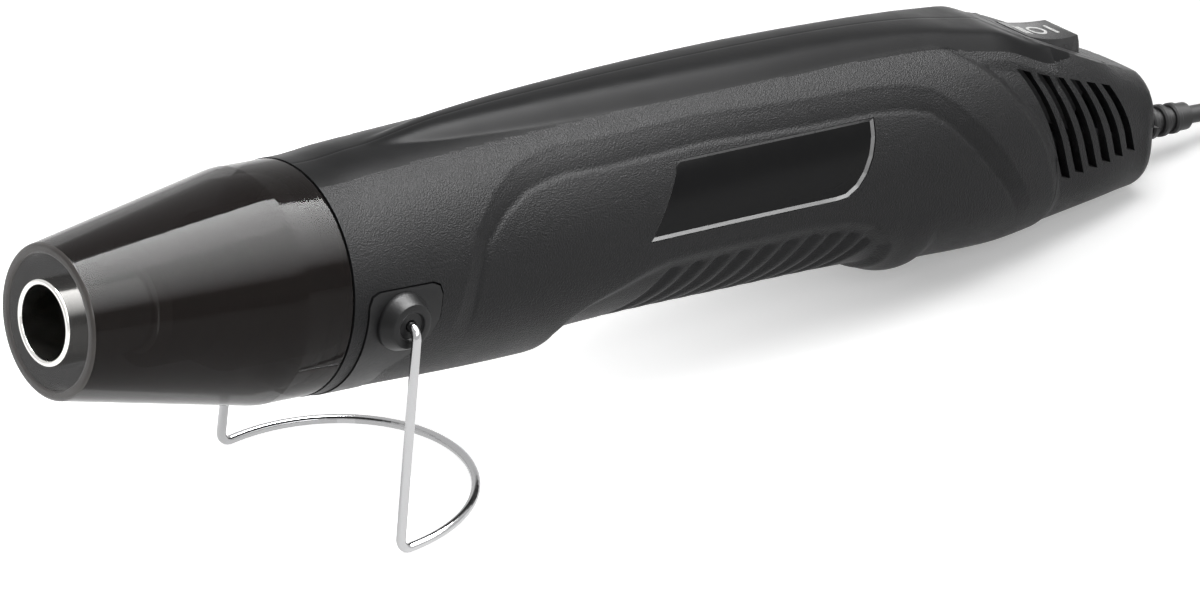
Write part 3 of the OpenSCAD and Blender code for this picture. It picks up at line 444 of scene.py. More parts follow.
def through(table, x):
    """Heights on the smooth curve through a table of stations."""
    place, height = np.array(table, float).T
    slope = np.zeros(len(place))
    slope[1:-1] = (height[2:] - height[:-2]) / (place[2:] - place[:-2])
    i = np.clip(np.searchsorted(place, x, side="right") - 1, 0, len(place) - 2)
    h = place[i + 1] - place[i]
    t = np.clip((x - place[i]) / h, 0, 1)
    return ((1 + 2 * t) * (1 - t) ** 2 * height[i] + t * (1 - t) ** 2 * h * slope[i]
        + t * t * (3 - 2 * t) * height[i + 1] + t * t * (t - 1) * h * slope[i + 1])


def plain_section(x, angle):
    """Half width and height of the plain body at an angle from its crown to its keel."""
    past = np.clip(x - (REAR - REAR_ROUND), 0, REAR_ROUND)
    end = REAR_ROUND - np.sqrt(REAR_ROUND ** 2 - past ** 2)
    power = 2 / through(SQUARE, x)
    turn = np.radians(angle)
    high = np.where(angle <= 90, through(TOP, x), through(UNDER, x)) - end
    return ((through(SIDE, x) - end) * np.abs(np.sin(turn)) ** power,
        np.sign(np.cos(turn)) * high * np.abs(np.cos(turn)) ** power)


def drawn_in(y, z, depth):
    """The same points moved towards the axis by a depth."""
    k = np.maximum(0.02, 1 - depth / np.hypot(y, z))
    return y * k, z * k


def inside_by(outline, x, z):
    """How far points lie inside a closed outline, as a negative distance outside it."""
    near = np.full(np.shape(x), 1e9)
    inside = np.zeros(np.shape(x), bool)
    for (ax, az), (bx, bz) in zip(outline, outline[1:] + outline[:1]):
        t = np.clip(((x - ax) * (bx - ax) + (z - az) * (bz - az)) / ((bx - ax) ** 2 + (bz - az) ** 2), 0, 1)
        near = np.minimum(near, np.hypot(x - ax - t * (bx - ax), z - az - t * (bz - az)))
        if az != bz:
            inside ^= ((az > z) != (bz > z)) & (x < (bx - ax) * (z - az) / (bz - az) + ax)
    return np.where(inside, near, -near)


def panel_fade(z):
    """How much of the panel's depth there is at a height: none low down, all of it from mid height."""
    return smooth((z + 9) / 13)


def moulded_depth(x, z, angle):
    """How deep the mould's panel, tail skin, finger scallop and slanting ribs are at each point."""
    ledge = inside_by(PANEL, x, z)
    panel = PANEL_STEP * smooth((ledge + 0.2) / 0.5)
    panel = panel + PANEL_DEPTH * np.clip(ledge / PANEL_LEDGE, 0, 1) ** 1.2
    panel = panel - FACE_RISE * smooth((ledge - 3.0) / 0.7)
    panel = panel * panel_fade(z)
    tail = TAIL_DEPTH * smooth((inside_by(TAIL_SKIN, x, z) + 0.2) / 2.8)
    tail = tail * (0.35 + 0.65 * smooth((z + 8) / 10))
    within = inside_by(SCALLOP, x, z)
    scallop = SCALLOP_DEPTH * smooth((within + 0.2) / 2.6) * smooth((4 - z) / 6)
    along = x + RIB_LEAN * (angle - 99)
    ridge = (0.5 + 0.5 * np.cos(2 * math.pi * (along - 114.6) / RIB_PITCH)) ** 1.6
    ribs = RIB_DEPTH * ridge * smooth((within - 2.2) / 1.2)
    ribs = ribs * smooth((angle - 94) / 5) * smooth((152 - angle) / 5)
    ribs = ribs * smooth((along - RIBS_FROM) / 1.5) * smooth((RIBS_TO - along) / 1.5)
    return np.maximum(panel, tail) + scallop * (1 - 0.9 * smooth(panel)) + ribs


def flat_height(x):
    """Height of the sloping flat that carries the switch."""
    return SWITCH_AT[2] - (x - SWITCH_AT[0]) * math.tan(SWITCH_SLOPE)


def soft_larger(a, b, k):
    """The larger of two heights, with a fillet between them."""
    return np.maximum(a, b) + k * np.log1p(np.exp(-np.abs(a - b) / k))


def outer_section(x):
    """One station's outer skin from crown to keel: the spine, its side and the moulded body."""
    angle = np.linspace(0, 180, 641)
    y, z = plain_section(x, angle)
    y, z = drawn_in(y, z, moulded_depth(np.full(641, x), z, angle))
    top_y, top_z = y[:300], z[:300]
    half = through(SPINE_HALF, x)
    edge = through(SPINE_EDGE, x)
    crown = float(smooth((SPINE_TO - x) / 50))

    def top_at(across):
        """The skin's height at a distance from the middle."""
        body = np.interp(across, top_y, top_z)
        if not SPINE_FROM < x < SPINE_TO:
            return body
        spine = edge + crown * (1 - (across / half) ** 2.3)
        spine = -soft_larger(-spine, FLANK_SLOPE * (across - half) - edge, SPINE_ROUND)
        return soft_larger(body, spine, SPINE_ROOT)

    reach = np.linspace(half + 0.6, half + 3, 60)
    above = np.interp(reach, top_y, top_z) < edge - FLANK_SLOPE * (reach - half)
    foot = reach[above][-1] if above.any() and SPINE_FROM < x < SPINE_TO else half + 0.6
    columns = np.concatenate([[0, 0.25], np.linspace(0.7, half - 0.7, 9),
        np.linspace(half - 0.7, half + 0.6, 9)[1:], np.linspace(half + 0.6, foot + 0.5, 8)[1:]])
    first = np.searchsorted(top_y, foot + 0.5)
    run_y = np.concatenate([[foot + 0.5], y[first:]])
    run_z = np.concatenate([[np.interp(foot + 0.5, top_y, top_z)], z[first:]])
    length = np.concatenate([[0], np.cumsum(np.hypot(np.diff(run_y), np.diff(run_z)))])
    spot = np.linspace(0, length[-1], 122)[1:]
    out_y = np.concatenate([columns, np.interp(spot, length, run_y)])
    out_z = np.concatenate([top_at(columns), np.interp(spot, length, run_z)])
    out_z[0] -= 0.04
    out_z[-1] += 0.08
    out_y[-1] = 0
    return out_y, np.minimum(out_z, flat_height(x))


def inner_section(x):
    """One station's inner skin from keel to crown, or the middle line inside the rear wall."""
    y, z = plain_section(x, np.linspace(180, 0, INNER_POINTS))
    y, z = drawn_in(y, z, NOSE_WALL if x < NOSE_WALL_END else WALL)
    y[[0, -1]] = 0
    if x > REAR - REAR_WALL:
        y, z = np.zeros(INNER_POINTS), np.linspace(z[0], z[-1], INNER_POINTS)
    return y, np.minimum(z, flat_height(x) - FLAT_WALL)


def ring_at(x, y, z):
    """A ring of points at one station."""
    return np.stack([np.full(len(y), float(x)), y, z], -1)


def closed_skin(name, rings):
    """A closed skin over rings of as many points each, with its faces turned outwards."""
    m, n = len(rings[0]), len(rings)
    faces = ring_faces(n, m)
    faces += [tuple(range(m)), tuple((n - 1) * m + j for j in range(m))]
    piece = new_piece(name, np.concatenate(rings), faces, 35)
    face_outwards(piece)
    return piece


def face_outwards(piece, join=0.0):
    """Turns a closed piece's faces outwards, once points closer than a distance are made one."""
    shape = bmesh.new()
    shape.from_mesh(piece.data)
    if join:
        bmesh.ops.remove_doubles(shape, verts=shape.verts[:], dist=join)
    bmesh.ops.recalc_face_normals(shape, faces=shape.faces[:])
    shape.to_mesh(piece.data)
    shape.free()


def block(outline, start, end, place=lambda p: p):
    """A straight block on an outline of x and z, from one y to another."""
    rings = [place(np.array([(x, y, z) for x, z in outline], float)) for y in (start, end)]
    return closed_skin("block", rings)


def round_bar(radius, start, end, centre, axis, sides=64):
    """A round bar along x or y round a centre in the other two directions."""
    across, up = radius * np.cos(around(sides)), radius * np.sin(around(sides))
    rings = []
    for far in (start, end):
        along = np.full(sides, float(far))
        rings.append(np.stack([along, centre[0] + across, centre[1] + up] if axis == "x"
            else [centre[0] + across, along, centre[1] + up], -1))
    return closed_skin("bar", rings)


def carve(piece, tool, operation="DIFFERENCE"):
    """Cuts, joins or trims a piece with another shape, which is then thrown away."""
    step = piece.modifiers.new("carve", "BOOLEAN")
    step.operation = operation
    step.solver = "MANIFOLD"
    step.object = tool
    settle(piece)
    bpy.data.objects.remove(tool)


def in_switch_frame(p):
    """Points drawn on the switch's flat, x along the slope and z out of it, in the tool's frame."""
    x, y, z = np.moveaxis(np.asarray(p, float), -1, 0)
    return np.stack([SWITCH_AT[0] + x * math.cos(SWITCH_SLOPE) + z * math.sin(SWITCH_SLOPE), y,
        SWITCH_AT[2] - x * math.sin(SWITCH_SLOPE) + z * math.cos(SWITCH_SLOPE)], -1)


AIR_SLOTS = 6
SLOT_HEAD = np.array((193.1, 18))
SLOT_HEAD_STEP = np.array((4.12, -1.14))
SLOT_FOOT = np.array((203.8, -2.3))
SLOT_FOOT_STEP = np.array((3.55, 0.3))
SLOT_BOW = np.array((0.75, 0.3))
SLOT_HEAD_WIDE = 2.75
SLOT_NARROWING = 0.06
SLOT_FOOT_WIDE = 2.35


def air_slot(k, side):
    """The k-th air slot, bowed to the rear, wide at its top, with square ends."""
    head = SLOT_HEAD + SLOT_HEAD_STEP * k
    foot = SLOT_FOOT + SLOT_FOOT_STEP * k
    edges = []
    for t in np.linspace(0, 1, 9):
        middle = head + t * (foot - head) + 4 * t * (1 - t) * SLOT_BOW
        wide = (SLOT_HEAD_WIDE - SLOT_NARROWING * k) * (1 - t) + SLOT_FOOT_WIDE * t
        edges.append((middle[0], middle[1], wide / 2))
    rear = [(x + w, z - 0.3 * w) for x, z, w in edges]
    front = [(x - w, z + 0.3 * w) for x, z, w in edges[::-1]]
    return block(rear + front, 30 * side, 4 * side)


LOBE_MIDDLE = 54.5
LOBE = [(48.5, 1.4), (49.09, 2.81), (50.5, 3.4), (61, 3.4), (62.41, 2.81), (63, 1.4), (63, -3.0),
    (62.4, -4.6), (60.4, -7.6), (58, -10), (55.5, -12), (55.5, -30), (48.5, -30)]


def strap_block(grow, inside, outside):
    """The strap's outline, grown by a gap, between two radii round the barrel."""
    x, z = np.array(LOBE).T
    grown = [(a + math.copysign(grow, a - LOBE_MIDDLE), b + (grow if b > 0 else 0)) for a, b in zip(x, z)]
    made = block(grown, -30, 30)
    carve(made, round_bar(inside, 40, 70, (0, 0), "x", 160))
    if outside:
        carve(made, round_bar(outside, 41, 69, (0, 0), "x", 160), "INTERSECT")
    return made


def label_bed(depth):
    """The body's left side under the label, drawn in to a depth."""
    rings = []
    for x in np.linspace(101, 163, 90):
        angle = np.linspace(0, 180, 120)
        y, z = plain_section(x, angle)
        y, z = drawn_in(y, z, depth * panel_fade(z))
        y[[0, -1]] = 0
        rings.append(ring_at(x, -y, z))
    return closed_skin("bed", rings)


def housing_half(name, side):
    """One half of the housing in the tool's frame, with its screw bosses and all its cuts."""
    rings = []
    to_rear = REAR - REAR_ROUND + REAR_ROUND * np.sin(np.linspace(0.08, math.pi / 2, 18))
    for x in [*np.linspace(JOINT, REAR - REAR_ROUND, 430), *to_rear]:
        y, z = np.concatenate([outer_section(x), inner_section(x)], axis=1)
        rings.append(ring_at(x, side * y, z))
    half = closed_skin(name, rings)
    bosses = None
    for x, z in SCREWS:
        boss = round_bar(SCREW_BOSS_R, 0, 40 * side, (x, z), "y", 32)
        if bosses:
            carve(bosses, boss, "UNION")
        bosses = bosses or boss
    rings = []
    for x in np.linspace(JOINT + 1, REAR - 1, 90):
        y, z = plain_section(x, np.linspace(0, 180, 60))
        y, z = drawn_in(y, z, BOSS_COVER)
        y[[0, -1]] = 0
        rings.append(ring_at(x, side * y, np.minimum(z, flat_height(x) - BOSS_FLAT_COVER)))
    carve(bosses, closed_skin("room", rings), "INTERSECT")
    carve(half, bosses, "UNION")
    for k in range(AIR_SLOTS):
        carve(half, air_slot(k, side))
    carve(half, strap_block(STRAP_GAP, STRAP_GROOVE_R, 0))
    carve(half, round_bar(ENTRY_R, 200, 240, (0, RELIEF_TIP[2]), "x"))
    for length, width, depth in (SWITCH_SEAT, SWITCH_OPENING):
        corners = [(-length / 2, -depth), (length / 2, -depth), (length / 2, 8), (-length / 2, 8)]
        carve(half, block(corners, -width / 2, width / 2, in_switch_frame))
    for x, z in SCREWS:
        carve(half, round_bar(SCREW_HOLE_R, -1 * side, 7.5 * side, (x, z), "y", 24))
        if side > 0:
            carve(half, round_bar(SCREW_WELL_R, SCREW_SEAT, 40, (x, z), "y", 32))
    if side < 0:
        pocket = block(LABEL, -60, -2)
        carve(pocket, label_bed(LABEL_BED))
        carve(half, pocket)
    return half


def lay_on_table(mesh, sharp):
    """Moves a mesh from the tool's frame on to the table and shades it."""
    spots = np.zeros(len(mesh.vertices) * 3)
    mesh.vertices.foreach_get("co", spots)
    mesh.vertices.foreach_set("co", on_table(spots.reshape(-1, 3)).ravel())
    shade(mesh, sharp)


def finish_half(half, textured, plain):
    """Puts smooth plastic on the spine, texture elsewhere, and moves the half to its place."""
    mesh = half.data
    mesh.materials.clear()
    mesh.materials.append(textured)
    mesh.materials.append(plain)
    middle = np.zeros(len(mesh.polygons) * 3)
    mesh.polygons.foreach_get("center", middle)
    x, y, z = middle.reshape(-1, 3).T
    half_width, edge = through(SPINE_HALF, x), through(SPINE_EDGE, x)
    near_middle = np.abs(y) < np.maximum(half_width + FLANK_WIDE, SMOOTH_HALF)
    on_spine = near_middle & (z > edge - FLANK_DEEP) & (x < SMOOTH_TO)
    inner = np.hypot(y, z) < INNER_R
    mesh.polygons.foreach_set("material_index", (on_spine & ~inner).astype(np.int32))
    lay_on_table(mesh, 38)
    mesh.update()


textured_nylon = finish_material("textured_nylon", (0.0095, 0.0095, 0.0102), 0.4, grain=0.00026,
    depth=0.00016, smear=0.04, wear=0.25, Specular_IOR_Level=0.13)
smooth_nylon = finish_material("smooth_nylon", (0.0065, 0.0065, 0.007), 0.36, grain=0.0008, depth=0.000008,
    smear=0.04, wear=0.2, Specular_IOR_Level=0.06)
for name, side, cad in (
        ("housing_half_left", -1, "housing_left"), ("housing_half_right", 1, "housing_right")):
    half = housing_half(name, side)
    finish_half(half, textured_nylon, smooth_nylon)
    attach(half, "tool")
    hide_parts(cad)

# Label plate
# A thin glossy black plate with a bevelled rim, stuck in its bed on the left panel so
# that its face follows the side.
def side_of(x, z, depth):
    """The place on the body's left side at a height, drawn in to a depth."""
    wide, power = through(SIDE, x), 2 / through(SQUARE, x)
    high = np.where(z > 0, through(TOP, x), through(UNDER, x))
    k = np.ones(np.shape(z))
    for _ in range(5):
        y = wide * (1 - np.clip(np.abs(z / k) / high, 0, 1) ** (2 / power)) ** (power / 2)
        k = 1 - depth * panel_fade(z / k) / np.hypot(y, z / k)
    return -k * y


def shrunk(outline, by):
    """A closed outline moved inwards all round."""
    p = np.array(outline, float)
    ahead = np.roll(p, -1, 0) - p
    ahead /= np.linalg.norm(ahead, axis=1)[:, None]
    behind = np.roll(ahead, 1, 0)
    inward = np.stack([ahead[:, 1], -ahead[:, 0]], 1) + np.stack([behind[:, 1], -behind[:, 0]], 1)
    inward /= np.maximum(0.5, (inward ** 2).sum(1) / 2)[:, None]
    return p + by * inward


def label_piece():
    """The plate: a bevelled rim round a face cut into narrow strips that follow the side.

    A row of the rim says how far in from the outline it runs, how deep it lies in the side,
    and the level that stands for that depth while the plate is still flat.
    """
    rim = [(0.12, LABEL_BED, 0), (0.12, 1.0, 1), (0.62, 1.36, 2), (0.8, 1.36, 3)]
    shape = bmesh.new()
    loops = [[shape.verts.new((x, level, z)) for x, z in shrunk(LABEL, by)] for by, depth, level in rim]
    for outer, inner in zip(loops, loops[1:]):
        for j in range(len(outer)):
            k = (j + 1) % len(outer)
            shape.faces.new((outer[j], outer[k], inner[k], inner[j]))
    shape.faces.new(loops[-1])
    shape.faces.new(loops[0][::-1])
    for axis, spots in (((0, 0, 1), np.arange(3, 15.5, 0.5)), ((1, 0, 0), np.arange(109, 157, 3))):
        for spot in spots:
            bmesh.ops.bisect_plane(shape, geom=shape.verts[:] + shape.edges[:] + shape.faces[:],
                plane_co=Vector(axis) * float(spot), plane_no=axis)
    _, depths, levels = zip(*rim)
    for face in shape.faces:
        heights = [vertex.co.y for vertex in face.verts]
        face.material_index = int(1.001 < sum(heights) / len(heights) < 1.999)
    for vertex in shape.verts:
        depth = float(np.interp(vertex.co.y, levels, depths))
        vertex.co.y = float(side_of(vertex.co.x, vertex.co.z, depth))
    bmesh.ops.recalc_face_normals(shape, faces=shape.faces[:])
    mesh = bpy.data.meshes.new("label_film")
    shape.to_mesh(mesh)
    shape.free()
    lay_on_table(mesh, 20)
    return in_scene("label_film", mesh)


label = label_piece()
paint(label, "label_gloss", (0.003, 0.003, 0.0034), 0.2, grain=0.002,
    depth=0.0000015, smear=0.03, wear=0.0, Specular_IOR_Level=0.1)
paint(label, "label_rim", (0.03, 0.03, 0.031), 0.28, grain=0.001,
    depth=0.000002, smear=0.04, wear=0.0, Specular_IOR_Level=0.6)
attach(label, "tool")
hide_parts("label_plate")

# Nose guard and steel nozzle
# The guard is smoked clear plastic, a cone and a short cylinder that plug into the housing.
# The nozzle is a bright steel tube with a rolled lip, stepped out to the heater chamber.
# A corner of their profiles has a place along the tool, a radius there and its rounding.
GUARD = [(0, 10.8, 0.5), (0, 12.5, 0.7), (35.2, 19.1, 3), (36.6, 19.3, 1), (45.4, 19.3, 0.3),
    (45.4, 17.25, 0), (49.9, 17.25, 0.2), (49.9, 15.75, 0), (43.6, 15.75, 0.3), (42.6, 17.5, 0.3),
    (35.2, 17.5, 2), (1.5, 10.8, 0.4)]
GUARD_LIP = 0.4
NOZZLE = [(-0.9, 6, 0.45), (-0.9, 7, 0.5), (16, 7, 0.5), (17, 10, 0.4), (26, 10, 0.8), (32, 13, 0.8),
    (70, 13, 0.2), (70, 17.25, 0), (71.2, 17.25, 0), (71.2, 12.4, 0), (32.3, 12.4, 0.5), (26.3, 9.4, 0.5),
    (17.5, 9.4, 0), (16.6, 6, 0.3)]
BLUED_FROM = 16.5


def rounded(corners, steps=9):
    """A closed profile with each corner rounded by its own radius, and long runs split near their ends."""
    profile = []
    for i, (x, r, radius) in enumerate(corners):
        here = np.array((x, r), float)
        back = np.array(corners[i - 1][:2], float) - here
        ahead = np.array(corners[(i + 1) % len(corners)][:2], float) - here
        long_back, long_ahead = np.linalg.norm(back), np.linalg.norm(ahead)
        back, ahead = back / long_back, ahead / long_ahead
        half = math.acos(max(-1, min(1, float(back.dot(ahead))))) / 2
        if radius == 0 or half > 1.55:
            profile.append(here)
            continue
        reach = min(radius / math.tan(half), 0.45 * long_back, 0.45 * long_ahead)
        centre = here + (back + ahead) / np.linalg.norm(back + ahead) * reach / math.cos(half)
        first, last = here + back * reach - centre, here + ahead * reach - centre
        sweep = math.atan2(first[0] * last[1] - first[1] * last[0], first.dot(last))
        for t in np.linspace(0, sweep, steps):
            profile.append(centre + (first[0] * math.cos(t) - first[1] * math.sin(t),
                first[0] * math.sin(t) + first[1] * math.cos(t)))
    split = []
    for spot, after in zip(profile, profile[1:] + profile[:1]):
        run = float(np.linalg.norm(np.subtract(after, spot)))
        shares = (0, 0.3 / run, 1 - 0.3 / run) if run > 2 else (0,)
        split += [np.add(spot, np.subtract(after, spot) * share) for share in shares]
    return split


def turned(name, profile, sides=180, height=0.0):
    """A ring turned round the tool's axis from a closed profile of x and radius."""
    x, r = np.array(profile).T
    rings = []
    for turn in around(sides):
        rings.append(np.stack([x, r * math.sin(turn), height + r * math.cos(turn)], -1))
    faces = ring_faces(sides, len(profile), closed=True)
    piece = new_piece(name, on_table(np.concatenate(rings)), faces, 35)
    face_outwards(piece, 1e-6)
    return piece


def along_tool(spot):
    """How far along the tool's axis a point on the table lies, in millimetres."""
    return (spot[0] * 1000 - MOVE_X) * math.cos(TILT) - (spot[2] * 1000 - MOVE_Z) * math.sin(TILT)


guard = turned("smoked_nose_guard", rounded(GUARD))
paint(guard, "smoked_plastic", (0.009, 0.006, 0.005), 0.06, grain=0.004,
    depth=0.000002, smear=0.03, wear=0.0, Alpha=0.78, Specular_IOR_Level=0.12)
paint(guard, "smoked_lip", (0.06, 0.053, 0.049), 0.2, grain=0.002,
    depth=0.000002, smear=0.05, wear=0.0, Alpha=0.92, Specular_IOR_Level=0.4)
for face in guard.data.polygons:
    face.material_index = int(along_tool(face.center) < GUARD_LIP)
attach(guard, "tool")
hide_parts("nose_guard")
nozzle = turned("steel_nozzle", rounded(NOZZLE))
paint(nozzle, "bright_steel", (0.72, 0.71, 0.69), 0.16, metal=1.0, grain=0.0012,
    depth=0.000003, smear=0.07, wear=0.1)
paint(nozzle, "blued_steel", (0.16, 0.14, 0.13), 0.5, metal=1.0, grain=0.0012,
    depth=0.000006, smear=0.08, wear=0.1)
for face in nozzle.data.polygons:
    face.material_index = int(along_tool(face.center) > BLUED_FROM)
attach(nozzle, "tool")
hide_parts("nozzle_tube")

# Heater
# A mica cross between two drilled discs carries the resistance wire, inside a mica sleeve.
# A ceramic ring centres the tube behind the guard, and a cut-out sits at the hot end.
def geometry_tree(name, sizes):
    """An empty geometry tree, with the sockets of its named sizes and its output node."""
    tree = bpy.data.node_groups.new(name, "GeometryNodeTree")
    tree.interface.new_socket("Geometry", in_out="INPUT", socket_type="NodeSocketGeometry")
    for size, usual in sizes.items():
        socket = tree.interface.new_socket(size, in_out="INPUT", socket_type="NodeSocketFloat")
        socket.default_value = usual
    tree.interface.new_socket("Material", in_out="INPUT", socket_type="NodeSocketMaterial")
    tree.interface.new_socket("Geometry", in_out="OUTPUT", socket_type="NodeSocketGeometry")
    given = tree.nodes.new("NodeGroupInput").outputs
    return tree, given, tree.nodes.new("NodeGroupOutput")


def close_tree(tree, given, end, shape):
    """Ends a tree in plain geometry that carries the material."""
    smooth_shape = node(tree, "GeometryNodeSetShadeSmooth", {"Geometry": shape})
    real = node(tree, "GeometryNodeRealizeInstances", {"Geometry": smooth_shape})
    painted = node(tree, "GeometryNodeSetMaterial", {"Geometry": real, "Material": given["Material"]})
    tree.links.new(painted.outputs[0], end.inputs["Geometry"])


def grown(name, tree, sizes, material, points=((0, 0, 0),), edges=()):
    """Runs a tree on a few points or edges and keeps the result as a plain mesh at the origin."""
    mesh = bpy.data.meshes.new(name)
    mesh.from_pydata([tuple(p) for p in points], list(edges), [])
    piece = in_scene(name, mesh)
    step = piece.modifiers.new(name, "NODES")
    step.node_group = tree
    for item in tree.interface.items_tree:
        if item.in_out == "INPUT" and item.name in sizes:
            step[item.identifier] = sizes[item.name]
        elif item.in_out == "INPUT" and item.name == "Material":
            step[item.identifier] = material
    settle(piece)
    piece.data.set_sharp_from_angle(angle=math.radians(35))
    return piece


winding_tree, given, end = geometry_tree("winding", {"Turns": 9.0, "Radius": 0.0085, "Length": 0.029,
    "Wire Radius": 0.00055, "Tip": 0.0, "Place X": 0.0, "Place Z": 0.0})
spiral = node(winding_tree, "GeometryNodeCurveSpiral", {"Resolution": 48, "Rotations": given["Turns"],
    "Start Radius": given["Radius"], "End Radius": given["Radius"], "Height": given["Length"]})
wire = node(winding_tree, "GeometryNodeCurvePrimitiveCircle",
    {"Resolution": 10, "Radius": given["Wire Radius"]})
wound = node(winding_tree, "GeometryNodeCurveToMesh", {"Curve": spiral, "Profile Curve": wire,
    "Fill Caps": True})
lean = node(winding_tree, "ShaderNodeCombineXYZ", {"Y": given["Tip"]})
spot = node(winding_tree, "ShaderNodeCombineXYZ", {"X": given["Place X"], "Z": given["Place Z"]})
laid = node(winding_tree, "GeometryNodeTransform", {"Geometry": wound, "Rotation": lean,
    "Translation": spot})
close_tree(winding_tree, given, end, laid)
heater_wire = finish_material("heater_wire", (0.16, 0.14, 0.13), 0.45, metal=1.0, grain=0.0006,
    depth=0.000004)
winding_at = on_table((37, 0, 0))
winding = grown("heater_winding", winding_tree, {"Tip": math.pi / 2 + TILT,
    "Place X": float(winding_at[0]), "Place Z": float(winding_at[2])}, heater_wire)
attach(winding, "tool")
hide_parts("heater_coil")
dress(["mica_sleeve", "heater_former", "heater_discs"], finish_material("mica", (0.55, 0.46, 0.34), 0.5,
    grain=0.0012, depth=0.00001, mottle=0.2))
dress(["tube_collar"],
    finish_material("ceramic_fibre", (0.72, 0.68, 0.6), 0.8, grain=0.0004, depth=0.00003))
plated_steel = finish_material("plated_steel", (0.52, 0.53, 0.55), 0.34, metal=1.0, grain=0.0005,
    depth=0.000004)
dress(["thermal_fuse", "motor_shaft", "motor_can"], plated_steel)

# Fan and motor
# A moulded fan on the shaft of a small canned motor, which sits in the cup of the air
# duct on six spokes. Bronze bushes and ferrite magnets hold and drive the armature.
dress(["fan"], finish_material("fan_moulding", (0.74, 0.72, 0.66), 0.42, grain=0.001, depth=0.000006))
dress(["motor_mount"],
    finish_material("duct_moulding", (0.2, 0.205, 0.21), 0.5, grain=0.0005, depth=0.00002))
dress(["motor_magnets"], finish_material("ferrite", (0.09, 0.09, 0.095), 0.7, grain=0.0003, depth=0.00002))
dress(["motor_armature", "commutator"], finish_material("wound_copper", (0.62, 0.26, 0.1), 0.32, metal=1.0,
    grain=0.0007, depth=0.00004))
dress(["motor_bushes", "switch_terminals"], finish_material("brass", (0.66, 0.46, 0.18), 0.3, metal=1.0,
    grain=0.0006, depth=0.000005))
dress(["motor_end_cap", "rectifier_diodes"], black_moulding)

# Rectifier board
# A round green board behind the motor, with four diodes, a film capacitor and two leads
# that run to the switch.
dress(["circuit_board"],
    finish_material("solder_mask", (0.012, 0.1, 0.035), 0.3, grain=0.0009, depth=0.000008, mottle=0.25))
dress(["capacitor"],
    finish_material("capacitor_film", (0.62, 0.36, 0.04), 0.35, grain=0.001, depth=0.00001))
dress(["lead_wires"],
    finish_material("lead_insulation", (0.42, 0.02, 0.015), 0.4, grain=0.0005, depth=0.000006))

# Switch
# A snap-in bezel of fine matt plastic and a satin rocker with three positions. Its marks
# for high, off and low are printed white. The rocker's front is pressed flush.
bezel_plastic = finish_material("bezel_plastic", (0.02, 0.02, 0.021), 0.5, grain=0.0003, depth=0.00003,
    Specular_IOR_Level=0.25)
rocker_plastic = finish_material("rocker_plastic", (0.008, 0.008, 0.009), 0.28, grain=0.001, depth=0.000004,
    smear=0.05, Specular_IOR_Level=0.3)
softened("switch_body", "switch_bezel", 0.00025, bezel_plastic, "tool")
softened("switch_rocker", "rocker", 0.0002, rocker_plastic, "rocker")
ROCKER_TURN = math.radians(14)
ROCKER_LOW = 4.161
ROCKER_HOLLOW = 34.78
AXLE_DEPTH = 3
MARK_TOP = 0.09
MARK_ROOT = -0.1
MARK_REACH = 1.9
BARS = (-4.0, -3.0, 3.5)
BAR_HALF = 0.3
RING_HOLE = 1.35


def on_rocker(points):
    """Points on the rocker's top, x to the rear, y across and z over its surface, on the table."""
    x, y, z = np.moveaxis(np.asarray(points, float), -1, 0)
    up = ROCKER_LOW + ROCKER_HOLLOW - np.sqrt(ROCKER_HOLLOW ** 2 - x ** 2) + z
    lifted = np.stack([x * math.cos(ROCKER_TURN) - up * math.sin(ROCKER_TURN), y,
        x * math.sin(ROCKER_TURN) + up * math.cos(ROCKER_TURN) - AXLE_DEPTH], -1)
    return on_table(in_switch_frame(lifted))


def rocker_marks():
    """Two bars, a ring and a bar, as thin print on the rocker's hollow top."""
    rows = []
    for middle in BARS:
        rows.append([[(middle + a, y) for a in (-BAR_HALF, BAR_HALF)]
            for y in np.linspace(-MARK_REACH, MARK_REACH, 9)])
    rows.append([[(r * math.sin(t), r * math.cos(t)) for r in (RING_HOLE, MARK_REACH)]
        for t in np.linspace(0, 2 * math.pi, 49)])
    points, faces = [], []
    for row in rows:
        n = len(row)
        first = len(points)
        for pair in row:
            for x, y in pair:
                points += [(x, y, MARK_TOP), (x, y, MARK_ROOT)]
        for i in range(n - 1):
            a, b = first + 4 * i, first + 4 * (i + 1)
            faces += [(a, b, b + 2, a + 2), (a + 1, a + 3, b + 3, b + 1), (a, a + 1, b + 1, b),
                (a + 2, b + 2, b + 3, a + 3)]
        faces += [(first, first + 2, first + 3, first + 1), (first + 4 * n - 4, first + 4 * n - 3,
            first + 4 * n - 1, first + 4 * n - 2)]
    piece = new_piece("rocker_marks", on_rocker(points), faces, 30)
    face_outwards(piece, 1e-7)
    return piece


marks = rocker_marks()
paint(marks, "mark_white", (0.78, 0.78, 0.77), 0.4, grain=0.0004, depth=0.000004,
    mottle=0.04, wear=0.0)
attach(marks, "rocker")

# Cord entry
# The rubber relief boot has a flange inside the rear wall and five collars outside. The
# cord's end is held by a moulded clamp with two screws.
BOOT_BORE = 1.5
FLANGE_X = 225.4
FLANGE_THICK = 2.1
FLANGE_R = 4.8
NECK_R = 2.9
NECK_END = 230.5
COLLARS = 5
COLLAR_X = 230.6
COLLAR_PITCH = 2.9
COLLAR_R = 3.3
COLLAR_TAPER = 0.125
COLLAR_THICK = 1.45
COLLAR_ROUND = 0.3
GROOVE_R = 2.15
TIP_R = 2.5


